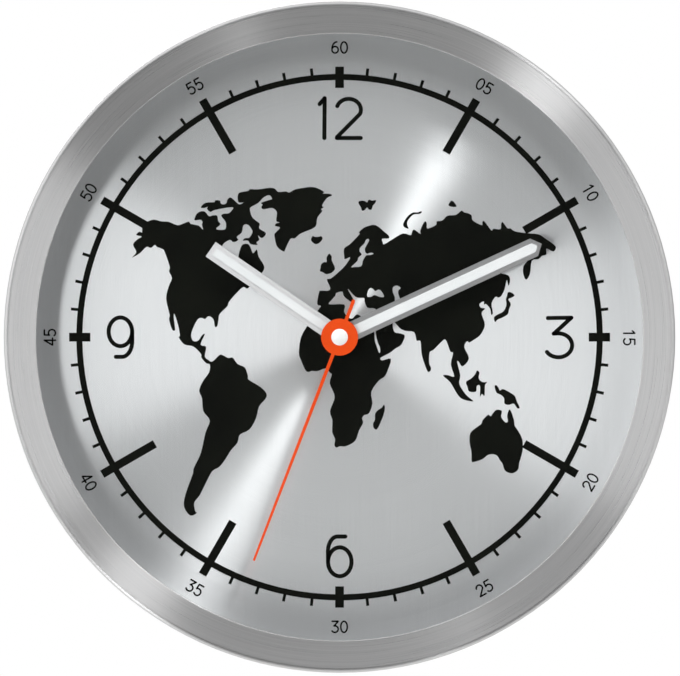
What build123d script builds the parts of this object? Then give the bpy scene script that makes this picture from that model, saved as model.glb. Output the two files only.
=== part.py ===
from build123d import *
import os
from math import cos, radians, sin, sqrt

# A round quartz wall clock, in millimetres, built as the pieces it is put together from.
# Bench frame: the clock lies on its back with its rear rim edge at Z 0,
# its front towards +Z and 12 towards +Y. The last lines stand it up,
# front towards -Y, with the hanging hole at the origin in the plane of the wall.

# Rim, glass and spacer
case_radius = 150.0
rim_wall = 2.0
rim_rise = 2.5
rim_edge_radius = 1.6
rim_crown = 0.4
rim_lip_radius = 0.5
rim_front_wall = 1.8
lip_thickness = 1.2
screw_land = 6.5
skirt_wall = 1.2
skirt_reach = 3.0
glass_overlap = 4.4
glass_thickness = 2.5
glass_bevel = 0.4
gasket_thickness = 0.8
gasket_width = 3.2
spacer_setback = 0.4
seat_clearance = 0.3

# Dial and the printed track, with the reach of each mark from the track's middle
dial_thickness = 0.8
ink_thickness = 0.08
track_inset = 19.2
track_width = 2.7
tick_reach = 3.1
tick_width = 1.35
tick_count = 60
hour_bar_inward = 21.0
hour_bar_outward = 6.2
hour_bar_width = 3.7
quarter_bar_inward = 4.9
quarter_bar_outward = 4.6
quarter_bar_width = 3.9

# Back cover and hanger
cover_wall = 2.0
cover_clearance = 0.4
clamp_wall = 2.0
rib_wall = 1.6
rib_height = 6.0
rib_count = 8
window_gap = 1.6
window_corner = 4.0
collar_wall = 1.8
collar_height = 7.0
screw_count = 6
screw_shank_radius = 1.4
screw_length = 12.0
screw_head_radius = 2.5
screw_hole_gap = 0.3
post_sink = 0.4
thread_gap = 0.02
hanger_thickness = 1.2
hanger_width = 46.0
hanger_height = 34.0
hanger_corner = 4.0
keyhole_inset = 58.0
keyhole_radius = 4.5
slot_radius = 2.2
slot_rise = 9.0
pocket_margin = 3.5
rivet_spacing = 34.0
rivet_radius = 1.4
rivet_head_radius = 2.6
rivet_tail_height = 0.8
rivet_gap = 0.05

# Movement case and battery
battery_diameter = 14.5
battery_length = 50.5
battery_nub_radius = 2.75
battery_nub_length = 1.0
battery_clearance = 0.15
contact_room = 1.55
contact_thickness = 0.4
contact_height = 3.6
contact_gap = 0.05
contact_dimple_radius = 2.0
leaf_span = 9.0
leaf_foot = 1.2
strip_join = 1.2
strip_gap = 0.2
case_wall = 1.2
case_corner = 3.0
cavity_corner = 1.6
partition_wall = 1.0
train_clearance = 0.45
snap_width = 5.0
snap_thickness = 0.9
snap_reach = 6.0
snap_lug_width = 2.6
snap_lug_height = 1.4
snap_gap = 0.2
snap_offset = 9.0
bush_radius = 4.0
bush_flange_radius = 5.5
bush_flange_thickness = 0.3
bush_show = 0.6
dial_washer_radius = 12.0
dial_washer_thickness = 0.6
nut_washer_radius = 8.0
nut_washer_thickness = 0.5
nut_across_flats = 11.0
nut_thickness = 2.4
knob_radius = 5.4
knob_thickness = 3.6
knob_recess = 0.8
knob_gap = 0.6
knob_flutes = 12
knob_flute_radius = 0.8

# Gear train, counted in layers from the front wall of the movement to its rear cover
wheel_thickness = 1.0
layer_gap = 0.7
hour_layer = 1
setting_layer = 2
centre_layer = 3
third_layer = 4
motor_layer = 5
seconds_layer = 6
rotor_layer = 7
train_module = 0.30
rotor_module = 0.30
seconds_pinion_teeth = 8
seconds_wheel_teeth = 48
third_pinion_teeth = 8
third_wheel_teeth = 60
centre_wheel_teeth = 64
cannon_pinion_teeth = 12
setting_wheel_teeth = 36
setting_pinion_teeth = 10
hour_wheel_teeth = 40
intermediate_pinion_teeth = 8
intermediate_wheel_teeth = 40
rotor_pinion_teeth = 8
half_turn = 180.0
third_direction = 160.0
setting_direction = 0.0
intermediate_direction = 60.0
rotor_direction = 20.0
arbor_radius = 0.5
setting_arbor_radius = 1.3
arbor_gap = 0.45
pivot_depth = 0.7
running_gap = 0.05
tube_wall = 0.85
minute_tube_wall = 1.05
cannon_flange_radius = 2.8
cannon_flange_thickness = 0.5
clutch_radius = 3.0
clutch_thickness = 0.25
axial_play = 0.1

# Stepping motor and circuit
magnet_radius = 3.0
magnet_height = 3.0
stator_gap = 0.5
stator_ring = 2.2
stator_arm = 4.0
coil_radius = 3.6
coil_length = 22.0
coil_wall_gap = 0.8
coil_offset = 6.0
core_width = 3.0
core_thickness = 1.0
core_overhang = 5.0
bobbin_wall = 0.6
bobbin_flange = 0.8
bobbin_lip = 0.3
board_width = 14.2
board_height = 11.4
board_thickness = 1.0
board_gap = 0.15
board_post_inset = 2.4
post_radius = 1.5
blob_radius = 2.4
blob_height = 1.1
blob_from_edge = 4.2
crystal_radius = 1.0
crystal_length = 6.0
crystal_from_edge = 10.0

# Hands, with their resting angles in degrees clockwise from 12
hand_thickness = 0.8
hand_hub_radius = 7.0
hand_border = 2.1
inlay_depth = 0.3
inlay_proud = 0.1
inlay_gap = 0.02
collet_depth = 1.2
collet_wall = 1.0
hand_gap = 0.4
tube_show = 0.2
hour_hand_length = 69.8
hour_hand_width = 7.9
hour_hand_angle = 304.3
minute_hand_length = 99.6
minute_hand_width = 8.6
minute_hand_point = 3.8
minute_hand_angle = 65.2
second_hand_length = 107.0
second_hand_tail = 18.0
second_hand_root_width = 1.6
second_hand_tip_width = 1.0
second_hand_disc = 8.25
second_hand_thickness = 0.5
second_hand_angle = 201.0
second_tube_wall = 0.5
second_tube_depth = 0.8
cap_radius = 3.7
cap_height = 1.2
hand_to_glass_gap = 2.0

# Gear teeth as shares of the module and of the tooth pitch: below and above the pitch circle, then widths
wheel_tooth = dict(below=1.15, above=0.85, root=0.52, pitch=0.44, tip=0.16)
pinion_tooth = dict(below=1.20, above=0.65, root=0.46, pitch=0.42, tip=0.18)

# Radii that follow from the rim
wall_inner = case_radius - rim_wall
skirt_outer = wall_inner - screw_land
skirt_inner = skirt_outer - skirt_wall
glass_radius = skirt_inner - seat_clearance
lip_radius = glass_radius - glass_overlap
screw_circle = (wall_inner + skirt_outer) / 2
screw_post_radius = screw_land / 2 + post_sink
dial_radius = min(glass_radius, screw_circle - screw_post_radius - seat_clearance)
spacer_outer = min(glass_radius - seat_clearance, dial_radius)
spacer_inner = lip_radius + spacer_setback
track_radius = lip_radius - track_inset
keyhole_height = case_radius - keyhole_inset

# Sizes that follow from the battery, or from the train where that needs more room
centre_tip_radius = train_module * (centre_wheel_teeth / 2 + wheel_tooth["above"])
battery_room_height = battery_diameter + 2 * battery_clearance
train_room_depth = partition_wall + train_clearance + centre_tip_radius
cavity_half = max(battery_length / 2 + contact_room, battery_room_height + train_room_depth)
movement_half = cavity_half + case_wall
movement_side = 2 * movement_half
layer_pitch = wheel_thickness + layer_gap
battery_radius = battery_diameter / 2
battery_depth = case_wall + battery_clearance + battery_diameter
train_depth = 2 * case_wall + rotor_layer * layer_pitch + 2 * layer_gap
movement_depth = max(battery_depth, train_depth)
battery_y = -(cavity_half - battery_clearance - battery_radius)
partition_low = battery_y + battery_radius + battery_clearance
partition_high = partition_low + partition_wall

# Heights from the wall to the glass
cover_rear_z = hanger_thickness
cover_inner_z = cover_rear_z + cover_wall
movement_rear_z = knob_recess + knob_thickness + knob_gap
shell_rear_z = movement_rear_z + case_wall
movement_front_z = movement_rear_z + movement_depth
cavity_front_z = movement_front_z - case_wall
battery_z = cavity_front_z - battery_clearance - battery_radius
dial_rear_z = movement_front_z + dial_washer_thickness
dial_front_z = dial_rear_z + dial_thickness
nut_rear_z = dial_front_z + nut_washer_thickness
bush_top_z = nut_rear_z + nut_thickness + bush_show
hour_hand_z = bush_top_z + hand_gap + collet_depth
hour_tube_z = hour_hand_z + hand_thickness + inlay_proud + tube_show
minute_hand_z = hour_tube_z + hand_gap + collet_depth
minute_tube_z = minute_hand_z + hand_thickness + inlay_proud + tube_show
second_hand_z = minute_tube_z + hand_gap + second_tube_depth
second_top_z = second_hand_z + second_hand_thickness + cap_height
glass_rear_z = second_top_z + hand_to_glass_gap
glass_front_z = glass_rear_z + glass_thickness
lip_rear_z = glass_front_z + gasket_thickness
lip_front_z = lip_rear_z + lip_thickness
case_depth = lip_front_z + rim_rise

# Radii of the nested tubes at the centre
minute_tube_bore = arbor_radius + running_gap
minute_tube_radius = minute_tube_bore + minute_tube_wall
hour_tube_bore = minute_tube_radius + running_gap
hour_tube_radius = hour_tube_bore + tube_wall
bush_bore = hour_tube_radius + running_gap


def polar(distance, direction, start=(0, 0)):
    """Point at a distance and direction, in degrees from +X, from a start point."""
    angle = radians(direction)
    return (start[0] + distance * cos(angle), start[1] + distance * sin(angle))


def layer(number):
    """Rear height of a wheel in the numbered layer."""
    return cavity_front_z - number * layer_pitch


# Centre distances. Two wheels of one arbor share a distance, so only one module of each pair is free.
train_distance = train_module * (third_pinion_teeth + centre_wheel_teeth) / 2
third_module = 2 * train_distance / (seconds_pinion_teeth + third_wheel_teeth)
seconds_module = 2 * train_distance / (intermediate_pinion_teeth + seconds_wheel_teeth)
setting_distance = centre_tip_radius + arbor_gap + setting_arbor_radius
setting_module = 2 * setting_distance / (cannon_pinion_teeth + setting_wheel_teeth)
hour_module = 2 * setting_distance / (setting_pinion_teeth + hour_wheel_teeth)
rotor_distance = rotor_module * (rotor_pinion_teeth + intermediate_wheel_teeth) / 2
third_at = polar(train_distance, third_direction)
setting_at = polar(setting_distance, setting_direction)
intermediate_at = polar(train_distance, intermediate_direction)
rotor_at = polar(rotor_distance, rotor_direction, intermediate_at)


def prism(face, low, high, at=(0, 0)):
    """Face in the XY plane carried from one height to another."""
    return extrude(Pos(at[0], at[1], low) * face, high - low)


def disc(radius, low, high, at=(0, 0)):
    return prism(Circle(radius), low, high, at)


def ring(outer, inner, low, high, at=(0, 0)):
    return prism(Circle(outer) - Circle(inner), low, high, at)


def cone(low_radius, high_radius, low, high, at=(0, 0)):
    """Round solid that tapers between two heights."""
    middle = (low + high) / 2
    return Pos(at[0], at[1], middle) * Cone(low_radius, high_radius, high - low)


def block(x_range, y_range, z_range):
    """Box between two limits on each axis."""
    sides = [limits[1] - limits[0] for limits in (x_range, y_range, z_range)]
    middle = [(limits[0] + limits[1]) / 2 for limits in (x_range, y_range, z_range)]
    return Pos(*middle) * Box(*sides)


def rounded_panel(x_range, y_range, corner):
    """Rounded rectangle between two limits on each axis."""
    panel = RectangleRounded(x_range[1] - x_range[0], y_range[1] - y_range[0], corner)
    return Pos((x_range[0] + x_range[1]) / 2, (y_range[0] + y_range[1]) / 2) * panel


def bar(start, end, width):
    """Round-ended bar between two points."""
    offset = Vector(*end) - Vector(*start)
    direction = Vector(1, 0).get_signed_angle(offset, Vector(0, 0, 1))
    middle = (Vector(*start) + Vector(*end)) / 2
    return Pos(middle.X, middle.Y) * Rot(0, 0, direction) * SlotCenterToCenter(offset.length, width)


def turned(points):
    """Solid turned about the clock's axis from a closed outline of radius and height."""
    outline = make_face(Plane.XZ * Polyline(*points, close=True))
    return revolve(outline, Axis.Z)


def spread(count, radius, first=0.0):
    """Evenly spaced points on a circle, with the direction of each."""
    directions = [first + number * 360 / count for number in range(count)]
    return [(polar(radius, direction), direction) for direction in directions]


def gear(teeth, module, tooth, phase=0.0):
    """Toothed outline with a tooth centred at the phase. Flanks run root, pitch circle, tip."""
    pitch_radius = teeth * module / 2
    root_radius = pitch_radius - tooth["below"] * module
    tip_radius = pitch_radius + tooth["above"] * module
    flank = ((root_radius, tooth["root"]), (pitch_radius, tooth["pitch"]), (tip_radius, tooth["tip"]))
    pitch_angle = 360 / teeth
    points = []
    for number in range(teeth):
        centre = phase + number * pitch_angle
        for radius, share in flank:
            points.append(polar(radius, centre - share * pitch_angle / 2))
        for radius, share in reversed(flank):
            points.append(polar(radius, centre + share * pitch_angle / 2))
    return make_face(Polyline(*points, close=True))


def meshing_phase(driver_teeth, driver_phase, driven_teeth, direction):
    """Phase that puts a gap of the driven gear where the driver's teeth meet it."""
    driver_share = driver_teeth * (direction - driver_phase) / 360
    return direction + half_turn - (0.5 - driver_share) * 360 / driven_teeth


# Rim: a spun aluminium ring with a lip over the glass, a skirt that centres the glass, and six screw posts
def make_rim():
    crown_radius = case_radius - rim_edge_radius - rim_crown
    slope_run = crown_radius - lip_radius

    def front_height(radius):
        return lip_front_z + rim_rise * (radius - lip_radius) / slope_run

    def flange_height(radius):
        return front_height(radius) - rim_front_wall

    outline = make_face(Polyline(
        (case_radius, 0),
        (case_radius, case_depth),
        (crown_radius, case_depth),
        (lip_radius, lip_front_z),
        (lip_radius, lip_rear_z),
        (skirt_inner, lip_rear_z),
        (skirt_inner, glass_rear_z - skirt_reach),
        (skirt_outer, glass_rear_z - skirt_reach),
        (skirt_outer, flange_height(skirt_outer)),
        (wall_inner, flange_height(wall_inner)),
        (wall_inner, 0),
        close=True))
    corners = outline.vertices()
    outline = fillet(corners.sort_by_distance((case_radius, case_depth))[0], rim_edge_radius)
    corners = outline.vertices()
    outline = fillet(corners.sort_by_distance((lip_radius, lip_front_z))[0], rim_lip_radius)
    rim = revolve(Plane.XZ * outline, Axis.Z)
    post_top = flange_height(screw_circle) + post_sink
    for place, direction in spread(screw_count, screw_circle, screw_start):
        rim += disc(screw_post_radius, cover_inner_z, post_top, place)
    for place, direction in spread(screw_count, screw_circle, screw_start):
        pilot_top = cover_rear_z + screw_length + seat_clearance
        rim -= disc(screw_shank_radius + thread_gap, cover_inner_z, pilot_top, place)
    return rim


# Glass, gasket and spacer stack between the rim's lip and the dial
def make_glass():
    bevel_radius = glass_radius - glass_bevel
    return turned([
        (0, glass_rear_z),
        (glass_radius, glass_rear_z),
        (glass_radius, glass_front_z - glass_bevel),
        (bevel_radius, glass_front_z),
        (0, glass_front_z)])


def make_gasket():
    outer = glass_radius - glass_bevel
    return ring(outer, outer - gasket_width, glass_front_z, lip_rear_z)


def make_spacer():
    return ring(spacer_outer, spacer_inner, dial_front_z, glass_rear_z)


# Dial: a thin aluminium disc, with the minute track printed on it as one film
def make_dial():
    return ring(dial_radius, bush_radius + running_gap, dial_rear_z, dial_front_z)


def make_track():
    half_width = track_width / 2
    print_face = Circle(track_radius + half_width) - Circle(track_radius - half_width)

    def mark(inward, outward, width, direction):
        middle = track_radius + (outward - inward) / 2
        return Rot(0, 0, direction) * Pos(middle, 0) * Rectangle(inward + outward, width)

    for number in range(tick_count):
        direction = number * 360 / tick_count
        is_hour = number % (tick_count // 12) == 0
        is_quarter = number % (tick_count // 4) == 0
        if is_quarter:
            print_face += mark(quarter_bar_inward, quarter_bar_outward, quarter_bar_width, direction)
        elif is_hour:
            print_face += mark(hour_bar_inward, hour_bar_outward, hour_bar_width, direction)
        else:
            print_face += mark(0, half_width + tick_reach, tick_width, direction)
    return prism(print_face, dial_front_z, dial_front_z + ink_thickness)


# Back cover: a moulded disc with a clamp ring that presses the dial forward,
# ribs, and a window for the movement
window_half = movement_half + window_gap
screw_start = 360 / screw_count / 2
hanger_y = keyhole_height + slot_rise / 2
pocket_half_width = keyhole_radius + pocket_margin
pocket_low = keyhole_height - keyhole_radius - pocket_margin
pocket_high = keyhole_height + slot_rise + slot_radius + pocket_margin


def make_back_cover():
    cover = disc(wall_inner - cover_clearance, cover_rear_z, cover_inner_z)
    cover += ring(spacer_outer, spacer_outer - clamp_wall, cover_inner_z, dial_rear_z)
    collar_half = window_half + collar_wall
    collar_face = RectangleRounded(2 * collar_half, 2 * collar_half, window_corner + collar_wall)
    cover += prism(collar_face, cover_inner_z, cover_inner_z + collar_height)
    rib_start = window_half + collar_wall / 2
    rib_end = spacer_outer - clamp_wall / 2
    for number in range(rib_count):
        direction = (number + 0.5) * 360 / rib_count
        rib_face = Pos((rib_start + rib_end) / 2, 0) * Rectangle(rib_end - rib_start, rib_wall)
        cover += prism(Rot(0, 0, direction) * rib_face, cover_inner_z, cover_inner_z + rib_height)
    window_face = RectangleRounded(2 * window_half, 2 * window_half, window_corner)
    cover -= prism(window_face, cover_rear_z, cover_inner_z + max(collar_height, rib_height))
    pocket_sides = (-pocket_half_width, pocket_half_width)
    pocket_face = rounded_panel(pocket_sides, (pocket_low, pocket_high), pocket_margin)
    cover -= prism(pocket_face, cover_rear_z, cover_inner_z)
    for place, direction in spread(screw_count, screw_circle, screw_start):
        cover -= disc(screw_shank_radius + screw_hole_gap, cover_rear_z, cover_inner_z, place)
        cover -= cone(screw_head_radius + thread_gap, screw_shank_radius + thread_gap, cover_rear_z,
                      cover_rear_z + screw_head_radius - screw_shank_radius, place)
    for side in (-1, 1):
        place = (side * rivet_spacing / 2, hanger_y)
        cover -= disc(rivet_radius + rivet_gap, cover_rear_z, cover_inner_z, place)
    return cover


def make_cover_screws():
    """Six countersunk screws, flush with the cover."""
    neck_z = cover_rear_z + screw_head_radius - screw_shank_radius
    screws = []
    for place, direction in spread(screw_count, screw_circle, screw_start):
        head = cone(screw_head_radius, screw_shank_radius, cover_rear_z, neck_z, place)
        shank = disc(screw_shank_radius, neck_z, cover_rear_z + screw_length, place)
        screws.append(head + shank)
    return Compound(children=screws)


# Hanger: a stamped steel plate with a keyhole, riveted flush over a pocket in the cover
def make_hanger():
    low = hanger_y - hanger_height / 2
    sides = (-hanger_width / 2, hanger_width / 2)
    plate = rounded_panel(sides, (low, low + hanger_height), hanger_corner)
    plate -= Pos(0, keyhole_height) * Circle(keyhole_radius)
    plate -= bar((0, keyhole_height), (0, keyhole_height + slot_rise), 2 * slot_radius)
    hanger = prism(plate, 0, hanger_thickness)
    for side in (-1, 1):
        place = (side * rivet_spacing / 2, hanger_y)
        head_hole = rivet_head_radius + rivet_gap
        hanger -= cone(head_hole, rivet_radius + rivet_gap, 0, hanger_thickness, place)
    return hanger


def make_hanger_rivets():
    rivets = []
    for side in (-1, 1):
        place = (side * rivet_spacing / 2, hanger_y)
        rivet = cone(rivet_head_radius, rivet_radius, 0, hanger_thickness, place)
        rivet += disc(rivet_radius, hanger_thickness, cover_inner_z, place)
        rivet += disc(rivet_head_radius, cover_inner_z, cover_inner_z + rivet_tail_height, place)
        rivets.append(rivet)
    return Compound(children=rivets)


# Heights and places inside the movement that several pieces share
stator_z = layer(motor_layer)
core_z = stator_z + wheel_thickness
coil_y = cavity_half - coil_wall_gap - coil_radius
coil_start = coil_offset - coil_length / 2
coil_end = coil_offset + coil_length / 2
core_ends = (coil_start - core_overhang, coil_end + core_overhang)
foot_places = [(end, coil_y) for end in (core_ends[0] + stator_arm / 2, core_ends[1] - stator_arm / 2)]
board_left = -cavity_half + contact_thickness + board_gap
board_x = (board_left, board_left + board_width)
board_y = (cavity_half - board_gap - board_height, cavity_half - board_gap)
board_z = layer(motor_layer)
board_posts = [(edge, board_y[1] - board_post_inset)
               for edge in (board_x[0] + board_post_inset, board_x[1] - board_post_inset)]
board_middle_y = (board_y[0] + board_y[1]) / 2
strip_middle_z = board_z + board_thickness / 2
cell_offset = battery_radius + battery_clearance - contact_thickness
corner_strip_low = battery_z + sqrt(battery_radius ** 2 - cell_offset ** 2) + contact_gap
corner_strip_z = (corner_strip_low, corner_strip_low + contact_height)
leaf_strip_z = (strip_middle_z - strip_gap / 2 - contact_height, strip_middle_z - strip_gap / 2)
plate_strip_z = (strip_middle_z + strip_gap / 2, corner_strip_low + strip_join)
snap_middles = (snap_offset - snap_width, 2 * snap_offset)
snap_places = [(side, middle) for side in (-1, 1) for middle in snap_middles]


# Movement case: a tray for the train and the battery, and a plate snapped over the train
def make_front_case():
    outer = RectangleRounded(movement_side, movement_side, case_corner)
    tray = prism(outer, shell_rear_z, movement_front_z)
    train_room = rounded_panel((-cavity_half, cavity_half), (partition_high, cavity_half), cavity_corner)
    tray -= prism(train_room, shell_rear_z, cavity_front_z)
    battery_room = Pos(0, (partition_low - cavity_half) / 2)
    battery_room *= Rectangle(2 * cavity_half, partition_low + cavity_half)
    tray -= prism(battery_room, shell_rear_z, cavity_front_z)
    strip_room = (-cavity_half, -cavity_half + contact_thickness + strip_gap)
    tray -= block(strip_room, (partition_low, partition_high + cavity_corner),
                  (shell_rear_z, plate_strip_z[1] + strip_gap))
    tray -= disc(bush_radius + thread_gap, cavity_front_z, movement_front_z)
    for place in foot_places:
        tray += disc(post_radius, core_z + core_thickness, cavity_front_z, place)
    for place in board_posts:
        tray += disc(post_radius, board_z + board_thickness, cavity_front_z, place)
    for place in (third_at, intermediate_at, rotor_at, setting_at):
        hole_end = cavity_front_z + pivot_depth + running_gap
        tray -= disc(arbor_radius + running_gap, cavity_front_z, hole_end, place)
    for side, middle in snap_places:
        lug_root = movement_half - case_wall / 2
        lug_x = sorted((side * lug_root, side * (movement_half + snap_thickness)))
        lug_low = movement_rear_z + snap_reach - 2 * snap_lug_height
        tray += block(lug_x, (middle - snap_lug_width / 2, middle + snap_lug_width / 2),
                      (lug_low, lug_low + snap_lug_height))
    return tray


def make_rear_cover():
    outline = rounded_panel((-movement_half, movement_half), (partition_low, movement_half), case_corner)
    plate = prism(outline, movement_rear_z, shell_rear_z)
    for side, middle in snap_places:
        y_range = (middle - snap_width / 2, middle + snap_width / 2)
        arm_x = sorted((side * movement_half, side * (movement_half + snap_thickness)))
        root_x = sorted((side * cavity_half, side * (movement_half + snap_thickness)))
        plate += block(root_x, y_range, (movement_rear_z, shell_rear_z))
        plate += block(arm_x, y_range, (movement_rear_z, movement_rear_z + snap_reach))
        eye_low = movement_rear_z + snap_reach - 2 * snap_lug_height - snap_gap
        eye_high = eye_low + snap_lug_height + 2 * snap_gap
        eye_half = snap_lug_width / 2 + snap_gap
        plate -= block(arm_x, (middle - eye_half, middle + eye_half), (eye_low, eye_high))
    plate -= disc(setting_arbor_radius + running_gap, movement_rear_z, shell_rear_z, setting_at)
    for place in ((0, 0), third_at, intermediate_at, rotor_at):
        hole_end = shell_rear_z - pivot_depth - running_gap
        plate -= disc(arbor_radius + running_gap, hole_end, shell_rear_z, place)
    return plate


# Bush, washers and nut that clamp the movement to the dial
def make_bush():
    bush = ring(bush_radius, bush_bore, cavity_front_z, bush_top_z)
    flange_z = cavity_front_z - bush_flange_thickness
    return bush + ring(bush_flange_radius, bush_bore, flange_z, cavity_front_z)


def make_dial_washer():
    return ring(dial_washer_radius, bush_radius + running_gap, movement_front_z, dial_rear_z)


def make_nut_washer():
    return ring(nut_washer_radius, bush_radius + running_gap, dial_front_z, nut_rear_z)


def make_nut():
    hexagon = RegularPolygon(nut_across_flats / 2, 6, major_radius=False)
    return prism(hexagon - Circle(bush_radius + thread_gap), nut_rear_z, nut_rear_z + nut_thickness)


# Battery with its two contacts. Their strips run along the side wall to the edge of the circuit board.
def make_battery():
    body_end = battery_length / 2 - battery_nub_length
    body = Pos((body_end - battery_length / 2) / 2, battery_y, battery_z) * Rot(0, 90, 0)
    body *= Cylinder(battery_radius, battery_length - battery_nub_length)
    nub = Pos(body_end + battery_nub_length / 2, battery_y, battery_z) * Rot(0, 90, 0)
    return body + nub * Cylinder(battery_nub_radius, battery_nub_length)


def make_leaf_contact():
    """Negative contact: a strip on the side wall with a bowed leaf that presses on the cell."""
    wall_x = -cavity_half
    face_x = wall_x + contact_thickness
    crown_x = -battery_length / 2 - contact_gap
    leaf_low = battery_y - leaf_span / 2
    leaf_high = battery_y + leaf_span / 2
    strip = block((wall_x, face_x), (leaf_low, board_middle_y), leaf_strip_z)
    leaf = Polyline((face_x, leaf_low), (crown_x, battery_y), (face_x, leaf_high), close=True)
    hollow = Polyline((face_x, leaf_low + leaf_foot), (crown_x - contact_thickness, battery_y),
                      (face_x, leaf_high - leaf_foot), close=True)
    return strip + prism(make_face(leaf) - make_face(hollow), *leaf_strip_z)


def make_plate_contact():
    """Positive contact: an end plate with a dimple, and a strip round the battery room to the board."""
    wall_x = cavity_half
    plate_z = (battery_z - contact_height, corner_strip_z[1])
    plate_y = (battery_y - leaf_span / 2, partition_low)
    plate = block((wall_x - contact_thickness, wall_x), plate_y, plate_z)
    dimple_x = battery_length / 2 + contact_gap
    dimple = Pos((dimple_x + wall_x) / 2, battery_y, battery_z) * Rot(0, 90, 0)
    plate += dimple * Cylinder(contact_dimple_radius, wall_x - dimple_x)
    corner_y = partition_low - contact_thickness
    plate += block((-wall_x, wall_x), (corner_y, partition_low), corner_strip_z)
    strip_x = (-wall_x, contact_thickness - wall_x)
    return plate + block(strip_x, (corner_y, board_middle_y), plate_strip_z)


# Stepping motor: coil on a core, stator plate, and the rotor's magnet
def make_stator():
    ring_outer = magnet_radius + stator_gap + stator_ring
    elbow_y = rotor_at[1] + stator_arm / 2
    face = Pos(*rotor_at) * Circle(ring_outer)
    for foot in foot_places:
        elbow = (foot[0], elbow_y)
        face += bar(rotor_at, elbow, stator_arm)
        face += bar(elbow, foot, stator_arm)
    face -= Pos(*rotor_at) * Circle(magnet_radius + stator_gap)
    return prism(face, stator_z, stator_z + wheel_thickness)


def make_core():
    core_y = (coil_y - core_width / 2, coil_y + core_width / 2)
    return block(core_ends, core_y, (core_z, core_z + core_thickness))


def along_coil(face, start, end):
    """Face drawn about the coil's axis, carried along it."""
    middle = (start, coil_y, core_z + core_thickness / 2)
    section = Plane(middle, x_dir=(0, 1, 0), z_dir=(1, 0, 0))
    return extrude(section * face, end - start)


def make_bobbin():
    tube_width = core_width + 2 * bobbin_wall
    tube_height = core_thickness + 2 * bobbin_wall
    hole = Rectangle(core_width, core_thickness)
    bobbin = along_coil(Rectangle(tube_width, tube_height) - hole, coil_start, coil_end)
    bobbin += along_coil(Circle(coil_radius) - hole, coil_start, coil_start + bobbin_flange)
    return bobbin + along_coil(Circle(coil_radius) - hole, coil_end - bobbin_flange, coil_end)


def make_winding():
    tube = Rectangle(core_width + 2 * bobbin_wall, core_thickness + 2 * bobbin_wall)
    section = Circle(coil_radius - bobbin_lip) - tube
    return along_coil(section, coil_start + bobbin_flange, coil_end - bobbin_flange)


# Circuit board with its chip under a drop of resin, and the quartz crystal in its can
def make_board():
    return prism(rounded_panel(board_x, board_y, board_thickness), board_z, board_z + board_thickness)


def make_blob():
    """Resin drop: a slice of a ball."""
    ball_radius = (blob_radius ** 2 + blob_height ** 2) / (2 * blob_height)
    place = (board_x[0] + blob_from_edge, board_middle_y)
    ball = Pos(place[0], place[1], board_z - blob_height + ball_radius) * Sphere(ball_radius)
    return ball & disc(blob_radius * 2, board_z - blob_height, board_z, place)


def make_crystal():
    place = Pos(board_x[0] + crystal_from_edge, board_middle_y, board_z - crystal_radius)
    return place * Rot(90, 0, 0) * Cylinder(crystal_radius, crystal_length)


# Wheels of the going train. Each is moulded in one with its pinion,
# on a steel arbor that runs in blind holes.
def make_arbor(place):
    return disc(arbor_radius, shell_rear_z - pivot_depth, cavity_front_z + pivot_depth, place)


def make_wheel_and_pinion(wheel, pinion, wheel_layer, pinion_layer, place):
    """Wheel in one layer with its pinion reaching forward to another, bored for its arbor."""
    bore = Circle(arbor_radius)
    wheel_high = layer(wheel_layer) + wheel_thickness
    pinion_high = layer(pinion_layer) + wheel_thickness + axial_play
    both = prism(wheel - bore, layer(wheel_layer), wheel_high, place)
    return both + prism(pinion - bore, wheel_high, pinion_high, place)


def make_seconds_wheel():
    wheel = gear(seconds_wheel_teeth, seconds_module, wheel_tooth)
    pinion = gear(seconds_pinion_teeth, third_module, pinion_tooth)
    return make_wheel_and_pinion(wheel, pinion, seconds_layer, third_layer, (0, 0))


def make_seconds_arbor():
    return disc(arbor_radius, shell_rear_z - pivot_depth, second_hand_z + second_hand_thickness)


def make_third_wheel():
    phase = meshing_phase(seconds_pinion_teeth, 0, third_wheel_teeth, third_direction)
    wheel = gear(third_wheel_teeth, third_module, wheel_tooth, phase)
    pinion = gear(third_pinion_teeth, train_module, pinion_tooth)
    return make_wheel_and_pinion(wheel, pinion, third_layer, centre_layer, third_at)


def make_centre_wheel():
    low = layer(centre_layer)
    phase = meshing_phase(third_pinion_teeth, 0, centre_wheel_teeth, third_direction + half_turn)
    face = gear(centre_wheel_teeth, train_module, wheel_tooth, phase)
    return prism(face - Circle(minute_tube_radius + running_gap), low, low + wheel_thickness)


def make_intermediate_wheel():
    phase = meshing_phase(seconds_wheel_teeth, 0, intermediate_pinion_teeth, intermediate_direction)
    wheel = gear(intermediate_wheel_teeth, rotor_module, wheel_tooth)
    pinion = gear(intermediate_pinion_teeth, seconds_module, pinion_tooth, phase)
    return make_wheel_and_pinion(wheel, pinion, rotor_layer, seconds_layer, intermediate_at)


def make_rotor_pinion():
    phase = meshing_phase(intermediate_wheel_teeth, 0, rotor_pinion_teeth, rotor_direction)
    face = gear(rotor_pinion_teeth, rotor_module, pinion_tooth, phase)
    low = layer(rotor_layer) - axial_play
    high = layer(rotor_layer) + wheel_thickness + axial_play
    return prism(face, low, high, rotor_at) + make_arbor(rotor_at)


def make_rotor_magnet():
    middle = stator_z + wheel_thickness / 2
    low = middle - magnet_height / 2
    return ring(magnet_radius, arbor_radius, low, low + magnet_height, rotor_at)


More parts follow.
